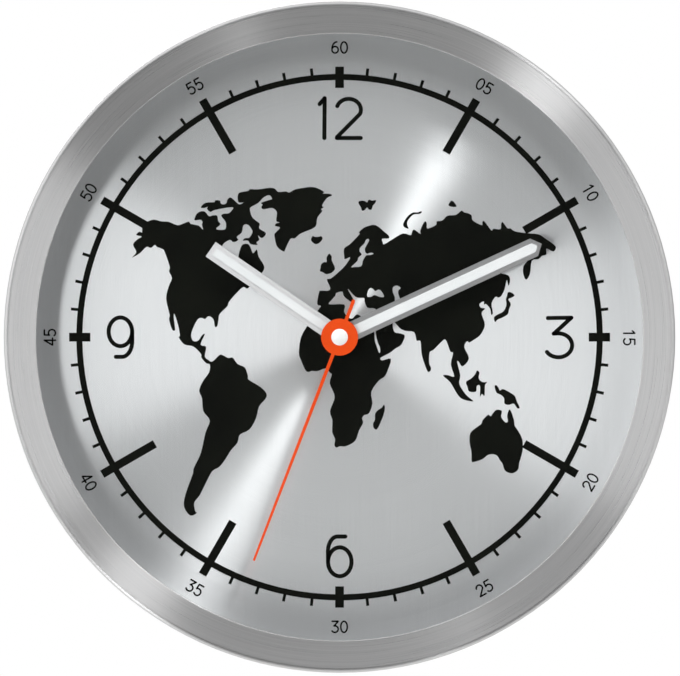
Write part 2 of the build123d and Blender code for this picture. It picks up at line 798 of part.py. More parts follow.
# Motion work: the cannon pinion slips inside the centre wheel,
# and drives the hour wheel through the setting wheel
def make_cannon_pinion():
    tube = Circle(minute_tube_radius) - Circle(minute_tube_bore)
    flange_high = layer(centre_layer) - axial_play
    flange_low = flange_high - cannon_flange_thickness
    cannon = prism(tube, flange_low, minute_tube_z)
    cannon += ring(cannon_flange_radius, minute_tube_bore, flange_low, flange_high)
    face = gear(cannon_pinion_teeth, setting_module, pinion_tooth) - Circle(minute_tube_bore)
    pinion_low = layer(setting_layer) - axial_play
    pinion_high = layer(setting_layer) + wheel_thickness + axial_play
    return cannon + prism(face, pinion_low, pinion_high)


def make_clutch_washer():
    """Dished spring washer between the centre wheel and the cannon pinion."""
    low = layer(centre_layer) + wheel_thickness
    high = layer(setting_layer) - axial_play
    bore = minute_tube_radius
    return turned([
        (clutch_radius, low),
        (bore, high - clutch_thickness),
        (bore, high),
        (clutch_radius, low + clutch_thickness)])


def make_hour_wheel():
    low = layer(hour_layer)
    phase = meshing_phase(setting_pinion_teeth, 0, hour_wheel_teeth, setting_direction + half_turn)
    face = gear(hour_wheel_teeth, hour_module, wheel_tooth, phase) - Circle(hour_tube_bore)
    wheel = prism(face, low, low + wheel_thickness)
    return wheel + ring(hour_tube_radius, hour_tube_bore, low + wheel_thickness, hour_tube_z)


def make_setting_wheel():
    wheel_low = layer(setting_layer)
    wheel_high = wheel_low + wheel_thickness
    pinion_high = layer(hour_layer) + wheel_thickness + axial_play
    phase = meshing_phase(cannon_pinion_teeth, 0, setting_wheel_teeth, setting_direction)
    face = gear(setting_wheel_teeth, setting_module, wheel_tooth, phase)
    wheel = prism(face, wheel_low, wheel_high, setting_at)
    pinion = gear(setting_pinion_teeth, hour_module, pinion_tooth)
    wheel += prism(pinion, wheel_high, pinion_high, setting_at)
    wheel += disc(setting_arbor_radius, knob_recess + knob_thickness / 2, wheel_low, setting_at)
    return wheel + disc(arbor_radius, layer(hour_layer), cavity_front_z + pivot_depth, setting_at)


def make_knob():
    """Fluted knob pressed on the rear end of the setting arbor."""
    face = Pos(*setting_at) * Circle(knob_radius)
    for place, direction in spread(knob_flutes, knob_radius + knob_flute_radius / 2):
        face -= Pos(setting_at[0] + place[0], setting_at[1] + place[1]) * Circle(knob_flute_radius)
    front_z = knob_recess + knob_thickness
    knob = prism(face, knob_recess, front_z)
    return knob - disc(setting_arbor_radius, front_z - knob_thickness / 2, front_z, setting_at)


# Hands: blades with a sunk pale inlay, each on a collet that grips its tube
def swung(piece, angle):
    """Piece drawn towards 12, turned clockwise to its resting place."""
    return Rot(0, 0, -angle) * piece


def blade_outline(length, width, point):
    """Straight blade towards 12 with a square or pointed end."""
    half = width / 2
    corners = [(-half, 0), (half, 0), (half, length - point)]
    if point > 0:
        corners.append((0, length))
    corners.append((-half, length - point))
    return make_face(Polyline(*corners, close=True))


def inlay_outline(length, width, point, border):
    """Window inside the blade, a border in from its edges, starting at the hub."""
    inner_half = width / 2 - border
    low = hand_hub_radius
    inner_point = point * inner_half / (width / 2)
    high = length - border - inner_point
    corners = [(-inner_half, low), (inner_half, low), (inner_half, high)]
    if point > 0:
        corners.append((0, high + inner_point))
    corners.append((-inner_half, high))
    return make_face(Polyline(*corners, close=True))


def make_blade(length, width, point, tube_radius, low, angle):
    face = blade_outline(length, width, point) + Circle(hand_hub_radius)
    face -= Circle(tube_radius + collet_wall)
    blade = prism(face, low, low + hand_thickness)
    pocket = inlay_outline(length, width, point, hand_border)
    blade -= prism(pocket, low + hand_thickness - inlay_depth, low + hand_thickness)
    return swung(blade, angle)


def make_inlay(length, width, point, low, angle):
    face = inlay_outline(length, width, point, hand_border + inlay_gap)
    inlay = prism(face, low + hand_thickness - inlay_depth, low + hand_thickness + inlay_proud)
    return swung(inlay, angle)


def make_collet(tube_radius, low):
    collet = ring(tube_radius + collet_wall, tube_radius, low - collet_depth, low + hand_thickness)
    return collet + ring(tube_radius + 2 * collet_wall, tube_radius, low - collet_depth, low)


hour_blade = (hour_hand_length, hour_hand_width, 0)
minute_blade = (minute_hand_length, minute_hand_width, minute_hand_point)


def make_second_hand():
    root_half = second_hand_root_width / 2
    tip_half = second_hand_tip_width / 2
    needle = make_face(Polyline(
        (-root_half, 0),
        (root_half, 0),
        (tip_half, second_hand_length),
        (-tip_half, second_hand_length),
        close=True))
    tail = bar((0, 0), (0, -second_hand_tail + root_half), second_hand_root_width)
    face = needle + tail + Circle(second_hand_disc) - Circle(arbor_radius + second_tube_wall)
    hand = prism(face, second_hand_z, second_hand_z + second_hand_thickness)
    return swung(hand, second_hand_angle)


def make_second_tube():
    low = second_hand_z - second_tube_depth
    return ring(arbor_radius + second_tube_wall, arbor_radius, low, second_hand_z + second_hand_thickness)


def make_second_cap():
    """Low dome over the end of the seconds arbor."""
    low = second_hand_z + second_hand_thickness
    ball_radius = (cap_radius ** 2 + cap_height ** 2) / (2 * cap_height)
    ball = Pos(0, 0, low + cap_height - ball_radius) * Sphere(ball_radius)
    return ball & disc(cap_radius * 2, low, low + cap_height)


pieces = {
    "case_rim": make_rim(),
    "lens_glass": make_glass(),
    "lens_gasket": make_gasket(),
    "spacer_ring": make_spacer(),
    "dial_plate": make_dial(),
    "dial_minute_track": make_track(),
    "back_cover": make_back_cover(),
    "back_cover_screws": make_cover_screws(),
    "hanger_plate": make_hanger(),
    "hanger_rivets": make_hanger_rivets(),
    "movement_front_case": make_front_case(),
    "movement_rear_cover": make_rear_cover(),
    "centre_bush": make_bush(),
    "dial_washer": make_dial_washer(),
    "nut_washer": make_nut_washer(),
    "hex_nut": make_nut(),
    "battery_cell": make_battery(),
    "battery_contact_negative": make_leaf_contact(),
    "battery_contact_positive": make_plate_contact(),
    "stator_plate": make_stator(),
    "coil_core": make_core(),
    "coil_bobbin": make_bobbin(),
    "coil_winding": make_winding(),
    "circuit_board": make_board(),
    "ic_blob": make_blob(),
    "quartz_crystal": make_crystal(),
    "rotor_magnet": make_rotor_magnet(),
    "rotor_pinion": make_rotor_pinion(),
    "intermediate_wheel": make_intermediate_wheel(),
    "intermediate_arbor": make_arbor(intermediate_at),
    "seconds_wheel": make_seconds_wheel(),
    "seconds_arbor": make_seconds_arbor(),
    "third_wheel": make_third_wheel(),
    "third_arbor": make_arbor(third_at),
    "centre_wheel": make_centre_wheel(),
    "cannon_pinion": make_cannon_pinion(),
    "clutch_washer": make_clutch_washer(),
    "setting_wheel": make_setting_wheel(),
    "set_knob": make_knob(),
    "hour_wheel": make_hour_wheel(),
    "hour_hand": make_blade(*hour_blade, hour_tube_radius, hour_hand_z, hour_hand_angle),
    "hour_hand_inlay": make_inlay(*hour_blade, hour_hand_z, hour_hand_angle),
    "hour_hand_collet": make_collet(hour_tube_radius, hour_hand_z),
    "minute_hand": make_blade(*minute_blade, minute_tube_radius, minute_hand_z, minute_hand_angle),
    "minute_hand_inlay": make_inlay(*minute_blade, minute_hand_z, minute_hand_angle),
    "minute_hand_collet": make_collet(minute_tube_radius, minute_hand_z),
    "second_hand": make_second_hand(),
    "second_hand_tube": make_second_tube(),
    "second_hand_cap": make_second_cap(),
}

# Stand the clock up with the hanging hole at the origin
stand_up = Pos(0, 0, -keyhole_height) * Rot(90, 0, 0)
os.makedirs("parts", exist_ok=True)
for name, piece in pieces.items():
    export_step(stand_up * piece, f"parts/{name}.step")
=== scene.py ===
import bmesh
import bpy
import numpy as np
from mathutils import Matrix, Vector
from mathutils.geometry import tessellate_polygon


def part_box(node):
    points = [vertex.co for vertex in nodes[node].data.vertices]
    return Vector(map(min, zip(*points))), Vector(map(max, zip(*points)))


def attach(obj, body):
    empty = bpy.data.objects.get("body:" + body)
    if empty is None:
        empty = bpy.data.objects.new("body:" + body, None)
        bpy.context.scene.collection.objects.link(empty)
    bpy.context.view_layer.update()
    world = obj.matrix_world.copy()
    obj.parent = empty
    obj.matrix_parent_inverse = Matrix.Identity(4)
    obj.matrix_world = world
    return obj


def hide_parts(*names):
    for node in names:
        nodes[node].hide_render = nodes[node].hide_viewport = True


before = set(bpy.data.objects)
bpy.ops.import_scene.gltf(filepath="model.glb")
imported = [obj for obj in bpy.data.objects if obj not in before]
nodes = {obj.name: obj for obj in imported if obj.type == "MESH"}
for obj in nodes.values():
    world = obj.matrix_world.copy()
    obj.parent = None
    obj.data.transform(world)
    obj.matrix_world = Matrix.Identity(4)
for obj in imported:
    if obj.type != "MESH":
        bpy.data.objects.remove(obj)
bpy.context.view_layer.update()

# Rim: one aluminium ring spun on a lathe, with a rounded outer edge and a lip that holds the glass.
# It is brushed while it turns, which leaves fine lines all the way round, so that light is spread
# towards and away from the middle but stays sharp along the ring.
mm = 0.001
axis_height = -0.092


def new_group(name, inputs, outputs):
    """Empty shader node group with named sockets."""
    group = bpy.data.node_groups.new(name, "ShaderNodeTree")
    for label, kind, value in inputs:
        socket = group.interface.new_socket(name=label, in_out="INPUT", socket_type=kind)
        socket.default_value = value
    for label in outputs:
        group.interface.new_socket(name=label, in_out="OUTPUT", socket_type="NodeSocketFloat")
    return group, group.nodes.new("NodeGroupInput"), group.nodes.new("NodeGroupOutput")


def join(tree, socket, value):
    """Feeds a node's input from another socket, or gives it a plain value."""
    if isinstance(value, bpy.types.NodeSocket):
        tree.links.new(value, socket)
    else:
        socket.default_value = value


def math_node(tree, operation, first, second=0.0):
    """Math node whose two inputs are sockets or numbers."""
    node = tree.nodes.new("ShaderNodeMath")
    node.operation = operation
    join(tree, node.inputs[0], first)
    join(tree, node.inputs[1], second)
    return node.outputs[0]


def vector_node(tree, operation, first, second=(0.0, 0.0, 0.0)):
    """Vector math node whose two inputs are sockets or vectors."""
    node = tree.nodes.new("ShaderNodeVectorMath")
    node.operation = operation
    join(tree, node.inputs[0], first)
    join(tree, node.inputs[1], second)
    return node.outputs["Value" if operation in ("LENGTH", "DOT_PRODUCT") else "Vector"]


def parted(tree, vector):
    """The three parts of a vector."""
    node = tree.nodes.new("ShaderNodeSeparateXYZ")
    tree.links.new(vector, node.inputs[0])
    return node.outputs


def combined(tree, *parts):
    """Vector of three sockets or numbers."""
    node = tree.nodes.new("ShaderNodeCombineXYZ")
    for socket, value in zip(node.inputs, parts):
        join(tree, socket, value)
    return node.outputs[0]


def noise_node(tree, vector, scale, detail):
    """Soft noise, from 0 to 1 and mostly near a half."""
    node = tree.nodes.new("ShaderNodeTexNoise")
    node.inputs["Detail"].default_value = detail
    join(tree, node.inputs["Scale"], scale)
    tree.links.new(vector, node.inputs["Vector"])
    return node.outputs["Fac"]


def from_axis(tree, place):
    """Vector from the hands' axis to a place, in the plane of the dial."""
    flat = vector_node(tree, "MULTIPLY", place, (1.0, 0.0, 1.0))
    return vector_node(tree, "SUBTRACT", flat, (0.0, 0.0, axis_height))


def ring_lines_group():
    """Lines round the hands' axis: noise over radius plus depth at a fine scale, and over the direction,
    as a unit vector, at a coarse one. The pattern closes without a seam and also runs round side walls."""
    group, given, made = new_group(
        "ring_lines",
        [("Vector", "NodeSocketVector", (0.0, 0.0, 0.0)),
         ("Fine", "NodeSocketFloat", 3000.0),
         ("Length", "NodeSocketFloat", 2.0)],
        ["Lines"])
    vector = given.outputs["Vector"]
    radial = from_axis(group, vector)
    depth = parted(group, vector)[1]
    reach = math_node(group, "ADD", vector_node(group, "LENGTH", radial), depth)
    across = math_node(group, "MULTIPLY", reach, given.outputs["Fine"])
    direction = parted(group, vector_node(group, "NORMALIZE", radial))
    along_x = math_node(group, "MULTIPLY", direction[0], given.outputs["Length"])
    along_z = math_node(group, "MULTIPLY", direction[2], given.outputs["Length"])
    lines = noise_node(group, combined(group, across, along_x, along_z), scale=1.0, detail=3.0)
    group.links.new(lines, made.inputs["Lines"])
    return group


def new_material(name):
    """Material with a Principled shader, its tree and its object coordinates."""
    material = bpy.data.materials.new(name)
    material.use_nodes = True
    tree = material.node_tree
    place = tree.nodes.new("ShaderNodeTexCoord").outputs["Object"]
    return material, tree, tree.nodes["Principled BSDF"], place


def blend_colours(tree, share, dark, light):
    """Colour between two others, each a socket or a plain colour, by a value from 0 to 1."""
    mix = tree.nodes.new("ShaderNodeMix")
    mix.data_type = "RGBA"
    tree.links.new(share, mix.inputs["Factor"])
    for label, colour in (("A", dark), ("B", light)):
        plain = not isinstance(colour, bpy.types.NodeSocket)
        join(tree, mix.inputs[label], (*colour, 1.0) if plain else colour)
    return mix.outputs["Result"]


def carried(tree, value, start, end, low=0.0, high=1.0):
    """Value carried from the range start to end over to the range low to high, and held there."""
    reach = tree.nodes.new("ShaderNodeMapRange")
    for label, number in (("From Min", start), ("From Max", end), ("To Min", low), ("To Max", high)):
        reach.inputs[label].default_value = number
    tree.links.new(value, reach.inputs["Value"])
    return reach.outputs["Result"]


def spread_noise(tree, noise, low=0.0, high=1.0, middle_start=0.3, middle_end=0.7):
    """Middle of a noise's range carried to low and high."""
    return carried(tree, noise, middle_start, middle_end, low, high)


def set_surface(tree, shader, colour, roughness, metallic=0.0):
    """Feeds a shader's colour, roughness and share of metal."""
    tree.links.new(colour, shader.inputs["Base Color"])
    tree.links.new(roughness, shader.inputs["Roughness"])
    join(tree, shader.inputs["Metallic"], metallic)


def raise_grain(tree, shader, height, depth, strength):
    """Bump of a real depth in metres on the shader's normal."""
    bump = tree.nodes.new("ShaderNodeBump")
    bump.inputs["Distance"].default_value = depth
    bump.inputs["Strength"].default_value = strength
    tree.links.new(height, bump.inputs["Height"])
    tree.links.new(bump.outputs["Normal"], shader.inputs["Normal"])


def lined_metal(tree, shader, share, lines, dark, light, roughness, depth, strength, tangent=None):
    """Bare metal: a share from 0 to 1 carries its colour from dark to light and its roughness between two
    values, and lines raise its relief. Where a tangent is given, highlights spread along it."""
    finish = carried(tree, share, 0.0, 1.0, *roughness)
    set_surface(tree, shader, blend_colours(tree, share, dark, light), finish, 1.0)
    raise_grain(tree, shader, lines, depth, strength)
    if tangent is not None:
        tree.links.new(tangent, shader.inputs["Tangent"])
        shader.inputs["Anisotropic"].default_value = 1.0


def place_group(tree, group, vector, **values):
    """Group node fed with a vector and plain values."""
    node = tree.nodes.new("ShaderNodeGroup")
    node.node_tree = group
    tree.links.new(vector, node.inputs["Vector"])
    for label, value in values.items():
        node.inputs[label].default_value = value
    return node.outputs


def dress(material, *names):
    """Puts a material on CAD nodes."""
    for name in names:
        mesh = nodes[name].data
        mesh.materials.clear()
        mesh.materials.append(material)


ring_lines = ring_lines_group()
rim_metal, tree, shader, place = new_material("rim_brushed_aluminium")
rim_lines = place_group(tree, ring_lines, place, Fine=5200.0, Length=1.6)["Lines"]
rim_radial = vector_node(tree, "NORMALIZE", from_axis(tree, place))
rim_tangent = vector_node(tree, "ADD", rim_radial, (0.0, 1.0, 0.0))
lined_metal(tree, shader, spread_noise(tree, rim_lines), rim_lines, dark=(0.40, 0.40, 0.405),
            light=(0.48, 0.48, 0.48), roughness=(0.27, 0.33), depth=0.02 * mm, strength=0.2,
            tangent=rim_tangent)
dress(rim_metal, "case_rim")

# Glass, gasket and spacer: a flat pane of clear float glass with a ground edge lies on a rubber ring
# under the lip. A dark moulded ring behind it keeps it off the dial. All three are dropped into the rim
# from behind. Light passes the pane unbent, and only the eye sees its gloss.
edge_start = 139.2 * mm
edge_end = 139.8 * mm
clear_tint = (0.99, 1.0, 0.995)
edge_tint = (0.62, 0.80, 0.72)
ground_rough = 0.35
glass_clear, tree, shader, place = new_material("clear_float_glass")
glass_reach = vector_node(tree, "LENGTH", from_axis(tree, place))
ground_edge = carried(tree, glass_reach, edge_start, edge_end)
glass_rough = carried(tree, glass_reach, edge_start, edge_end, 0.0, ground_rough)
set_surface(tree, shader, blend_colours(tree, ground_edge, clear_tint, edge_tint), glass_rough)
shader.inputs["IOR"].default_value = 1.5
shader.inputs["Transmission Weight"].default_value = 1.0
paths = tree.nodes.new("ShaderNodeLightPath")
straight_rays = paths.outputs["Is Camera Ray"]
bent_rays = paths.outputs["Is Transmission Ray"]
seen_through = math_node(tree, "MAXIMUM", straight_rays, bent_rays)
open_air = tree.nodes.new("ShaderNodeBsdfTransparent")
choice = tree.nodes.new("ShaderNodeMixShader")
tree.links.new(seen_through, choice.inputs["Fac"])
tree.links.new(open_air.outputs[0], choice.inputs[1])
tree.links.new(shader.outputs[0], choice.inputs[2])
tree.links.new(choice.outputs[0], tree.nodes["Material Output"].inputs["Surface"])
dress(glass_clear, "lens_glass")


def grain_group():
    """Fine grain and slow patches: two noises over the same place, at a fine and at a coarse scale."""
    group, given, made = new_group(
        "surface_grain",
        [("Vector", "NodeSocketVector", (0.0, 0.0, 0.0)),
         ("Fine", "NodeSocketFloat", 4000.0),
         ("Coarse", "NodeSocketFloat", 60.0)],
        ["Grain", "Patches"])
    vector = given.outputs["Vector"]
    grain = noise_node(group, vector, given.outputs["Fine"], detail=2.0)
    patches = noise_node(group, vector, given.outputs["Coarse"], detail=4.0)
    group.links.new(grain, made.inputs["Grain"])
    group.links.new(patches, made.inputs["Patches"])
    return group


surface_grain = grain_group()
rough_spread = 0.12


def grained(name, dark, light, rough, metallic=0.0, gloss=0.5, fine=4000.0, coarse=60.0, depth=0.03 * mm,
            strength=0.2):
    """Material with slow colour patches between two tones, and fine grain in its roughness and relief."""
    material, tree, shader, place = new_material(name)
    grain = place_group(tree, surface_grain, place, Fine=fine, Coarse=coarse)
    colour = blend_colours(tree, spread_noise(tree, grain["Patches"]), dark, light)
    smooth_end = (1 - rough_spread) * rough
    rough_end = (1 + rough_spread) * rough
    set_surface(tree, shader, colour, spread_noise(tree, grain["Grain"], smooth_end, rough_end), metallic)
    raise_grain(tree, shader, grain["Grain"], depth, strength)
    shader.inputs["Specular IOR Level"].default_value = gloss
    return material


seal_rubber = grained("seal_rubber", dark=(0.02, 0.02, 0.02), light=(0.04, 0.04, 0.04), rough=0.75)
dress(seal_rubber, "lens_gasket", "dial_washer")
spacer_plastic = grained("spacer_plastic", dark=(0.05, 0.05, 0.055), light=(0.08, 0.08, 0.085), rough=0.55)
dress(spacer_plastic, "spacer_ring")

# Dial: a disc of thin aluminium sheet, brushed round on a turntable so that light fans out from its
# middle. Faint upright lines from the rolled sheet still show through the brushing.
sheet_scale = (2200.0, 1.0, 26.0)
dial_metal, tree, shader, place = new_material("dial_brushed_aluminium")
dial_lines = place_group(tree, ring_lines, place, Fine=2600.0, Length=1.2)["Lines"]
sheet_place = vector_node(tree, "MULTIPLY", place, sheet_scale)
sheet_lines = noise_node(tree, sheet_place, scale=1.0, detail=2.0)
both_lines = math_node(tree, "MULTIPLY", math_node(tree, "ADD", dial_lines, sheet_lines), 0.5)
dial_tangent = vector_node(tree, "NORMALIZE", from_axis(tree, place))
lined_metal(tree, shader, spread_noise(tree, both_lines), both_lines, dark=(0.85, 0.865, 0.88),
            light=(0.93, 0.945, 0.96), roughness=(0.36, 0.42), depth=0.01 * mm, strength=0.15,
            tangent=dial_tangent)
dress(dial_metal, "dial_plate")

# Print on the dial: black screen ink, a film a few hundredths of a millimetre thick, laid on before
# assembly. It carries the minute track, four large numerals and twelve minute numbers.
ink_dark = (0.0012, 0.0016, 0.0008)
ink_light = (0.0030, 0.0036, 0.0020)
black_ink = grained("black_screen_ink", ink_dark, ink_light, rough=0.6, gloss=0.06, fine=6000.0)
dress(black_ink, "dial_minute_track")
dial_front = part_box("dial_plate")[0].y
film = 0.06 * mm
merge_distance = 0.001 * mm


def put_piece(name, points, faces, material, body, slot):
    """Mesh object at the origin with its normals pointing outwards, riding on a body."""
    mesh = bpy.data.meshes.new(name)
    mesh.from_pydata(points, [], faces)
    work = bmesh.new()
    work.from_mesh(mesh)
    bmesh.ops.remove_doubles(work, verts=work.verts, dist=merge_distance)
    bmesh.ops.recalc_face_normals(work, faces=work.faces)
    work.to_mesh(mesh)
    work.free()
    mesh.materials.append(material)
    piece = bpy.data.objects.new(name, mesh)
    bpy.context.scene.collection.objects.link(piece)
    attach(piece, body)
    return piece


def at_depth(flat, depth):
    """Points given in millimetres right and up of the hands' axis, put at a depth in metres."""
    flat = np.asarray(flat, float)
    return np.column_stack((flat[:, 0] * mm, np.full(len(flat), depth), flat[:, 1] * mm + axis_height))


def oval(middle, radii, start, end, steps=40):
    """Points of an oval arc: middle plus radii times cosine and sine of an angle from start to end."""
    angle = np.radians(np.linspace(start, end, steps))
    return np.column_stack((middle[0] + radii[0] * np.cos(angle), middle[1] + radii[1] * np.sin(angle)))


def stroke(line, width, closed=False, cap_steps=6, face=dial_front, rise=-film):
    """Pen stroke on a face as rings of four corners along a line. Each ring lies half a width to both sides
    of the line; past an open end the half width falls off as a circle does, which rounds the end."""
    line = np.asarray(line, float)
    half = width / 2
    cap_end = 84.0
    if closed:
        run = np.roll(line, -1, axis=0) - np.roll(line, 1, axis=0)
        reach = np.full(len(line), half)
    else:
        first = (line[0] - line[1]) / np.linalg.norm(line[0] - line[1])
        last = (line[-1] - line[-2]) / np.linalg.norm(line[-1] - line[-2])
        swing = np.radians(np.linspace(0, cap_end, cap_steps + 1))[1:]
        beyond = half * np.sin(swing)
        narrowing = half * np.cos(swing)
        reach = np.concatenate((narrowing[::-1], np.full(len(line), half), narrowing))
        line = np.vstack((line[0] + first * beyond[::-1, None], line, line[-1] + last * beyond[:, None]))
        run = np.gradient(line, axis=0)
    run /= np.linalg.norm(run, axis=1)[:, None]
    side = np.column_stack((-run[:, 1], run[:, 0])) * reach[:, None]
    left = line + side
    right = line - side
    top = face + rise
    section = ((left, face), (left, top), (right, top), (right, face))
    rings = np.stack([at_depth(edge, depth) for edge, depth in section], axis=1)
    count = len(line)
    here = np.arange(count if closed else count - 1)[:, None] * 4
    there = (here + 4) % (4 * count)
    corner = np.arange(4)
    turned = (corner + 1) % 4
    faces = np.stack((here + corner, here + turned, there + turned, there + corner), axis=2).reshape(-1, 4)
    if not closed:
        faces = np.vstack((faces, corner, (count - 1) * 4 + corner))
    return rings.reshape(-1, 3), faces


def gather(shapes):
    """Several shapes as one list of points and faces."""
    starts = np.cumsum([0] + [len(points) for points, _ in shapes[:-1]])
    points = np.vstack([points for points, _ in shapes])
    faces = []
    for start, (_, made) in zip(starts, shapes):
        faces.extend((np.asarray(made) + start).tolist())
    return points.tolist(), faces


numeral_width = 1.85
ring_steps = 60
numerals = {
    "12": [[(-8.9, 104.3), (-6.7, 106.9)],
           [(-6.65, 106.9), (-6.8, 89.1)],
           np.vstack((oval((4.1, 101.7), (5.45, 4.9), 160, -22), [(-1.15, 89.5)])),
           [(-1.2, 89.1), (9.5, 89.1)]],
    "3": [[(93.2, 8.55), (103.7, 8.7)],
          [(103.7, 8.7), (95.9, 1.6)],
          np.vstack(([(95.8, 1.6)], oval((97.9, -3.65), (6.15, 5.35), 92, -146)))],
    "6": [oval((0.1, -100.5), (5.25, 6.45), 0, 354, ring_steps),
          np.vstack(([(2.6, -89.2)], oval((-1.0, -96.0), (4.2, 6.8), 90, 180), [(-5.15, -100.5)]))],
    "9": [oval((-98.05, 2.4), (5.25, 6.4), 0, 354, ring_steps),
          np.vstack(([(-92.8, 2.4)], oval((-97.35, -2.0), (4.55, 6.8), 0, -90), [(-100.1, -8.8)]))],
}
for text, lines in numerals.items():
    shapes = [stroke(line, numeral_width, closed=len(line) == ring_steps) for line in lines]
    put_piece("numeral_" + text, *gather(shapes), black_ink, "case", "black_ink")

number_height = 5.4
number_width = 0.72
number_circle = 129.6
digit_width = 0.62
digit_step = 0.74
loop_steps = 36
flip_below = -0.2
digits = {
    "0": [oval((0.31, 0.5), (0.27, 0.46), 0, 350, loop_steps)],
    "1": [[(0.16, 0.76), (0.36, 0.96)], [(0.36, 0.96), (0.36, 0.04)]],
    "2": [np.vstack((oval((0.31, 0.68), (0.26, 0.28), 165, -20, 24), [(0.05, 0.05)])),
          [(0.05, 0.04), (0.58, 0.04)]],
    "3": [[(0.07, 0.96), (0.56, 0.96)], [(0.56, 0.96), (0.24, 0.58)],
          np.vstack(([(0.22, 0.58)], oval((0.29, 0.31), (0.28, 0.27), 95, -145, 24)))],
    "4": [[(0.42, 0.96), (0.03, 0.30)], [(0.03, 0.28), (0.60, 0.28)], [(0.42, 0.94), (0.42, 0.04)]],
    "5": [[(0.54, 0.96), (0.14, 0.96)], [(0.13, 0.95), (0.10, 0.54)],
          oval((0.29, 0.33), (0.28, 0.29), 130, -140, 28)],
    "6": [oval((0.31, 0.31), (0.26, 0.27), 0, 350, loop_steps),
          oval((0.45, 0.33), (0.40, 0.63), 90, 180, 20)],
}


def number_shapes(text, clock_angle):
    """Two digits on the number circle, turned with the dial, and upside up in the lower half."""
    turn = np.radians(-clock_angle)
    upright = 1.0 if np.cos(turn) > flip_below else -1.0
    right = np.array((np.cos(turn), np.sin(turn))) * upright
    up = np.array((-np.sin(turn), np.cos(turn))) * upright
    middle = np.array((-np.sin(turn), np.cos(turn))) * number_circle
    span = digit_step * (len(text) - 1) + digit_width
    shapes = []
    for place, digit in enumerate(text):
        for line in digits[digit]:
            line = np.asarray(line, float) - (span / 2 - digit_step * place, 0.5)
            flat = middle + number_height * (line[:, :1] * right + line[:, 1:] * up)
            shapes.append(stroke(flat, number_width, closed=len(line) == loop_steps, cap_steps=4))
    return shapes


minute_numbers = [number_shapes(f"{5 * hour:02d}", 30 * hour) for hour in range(1, 13)]
put_piece("minute_numbers", *gather(sum(minute_numbers, [])), black_ink, "case", "black_ink")

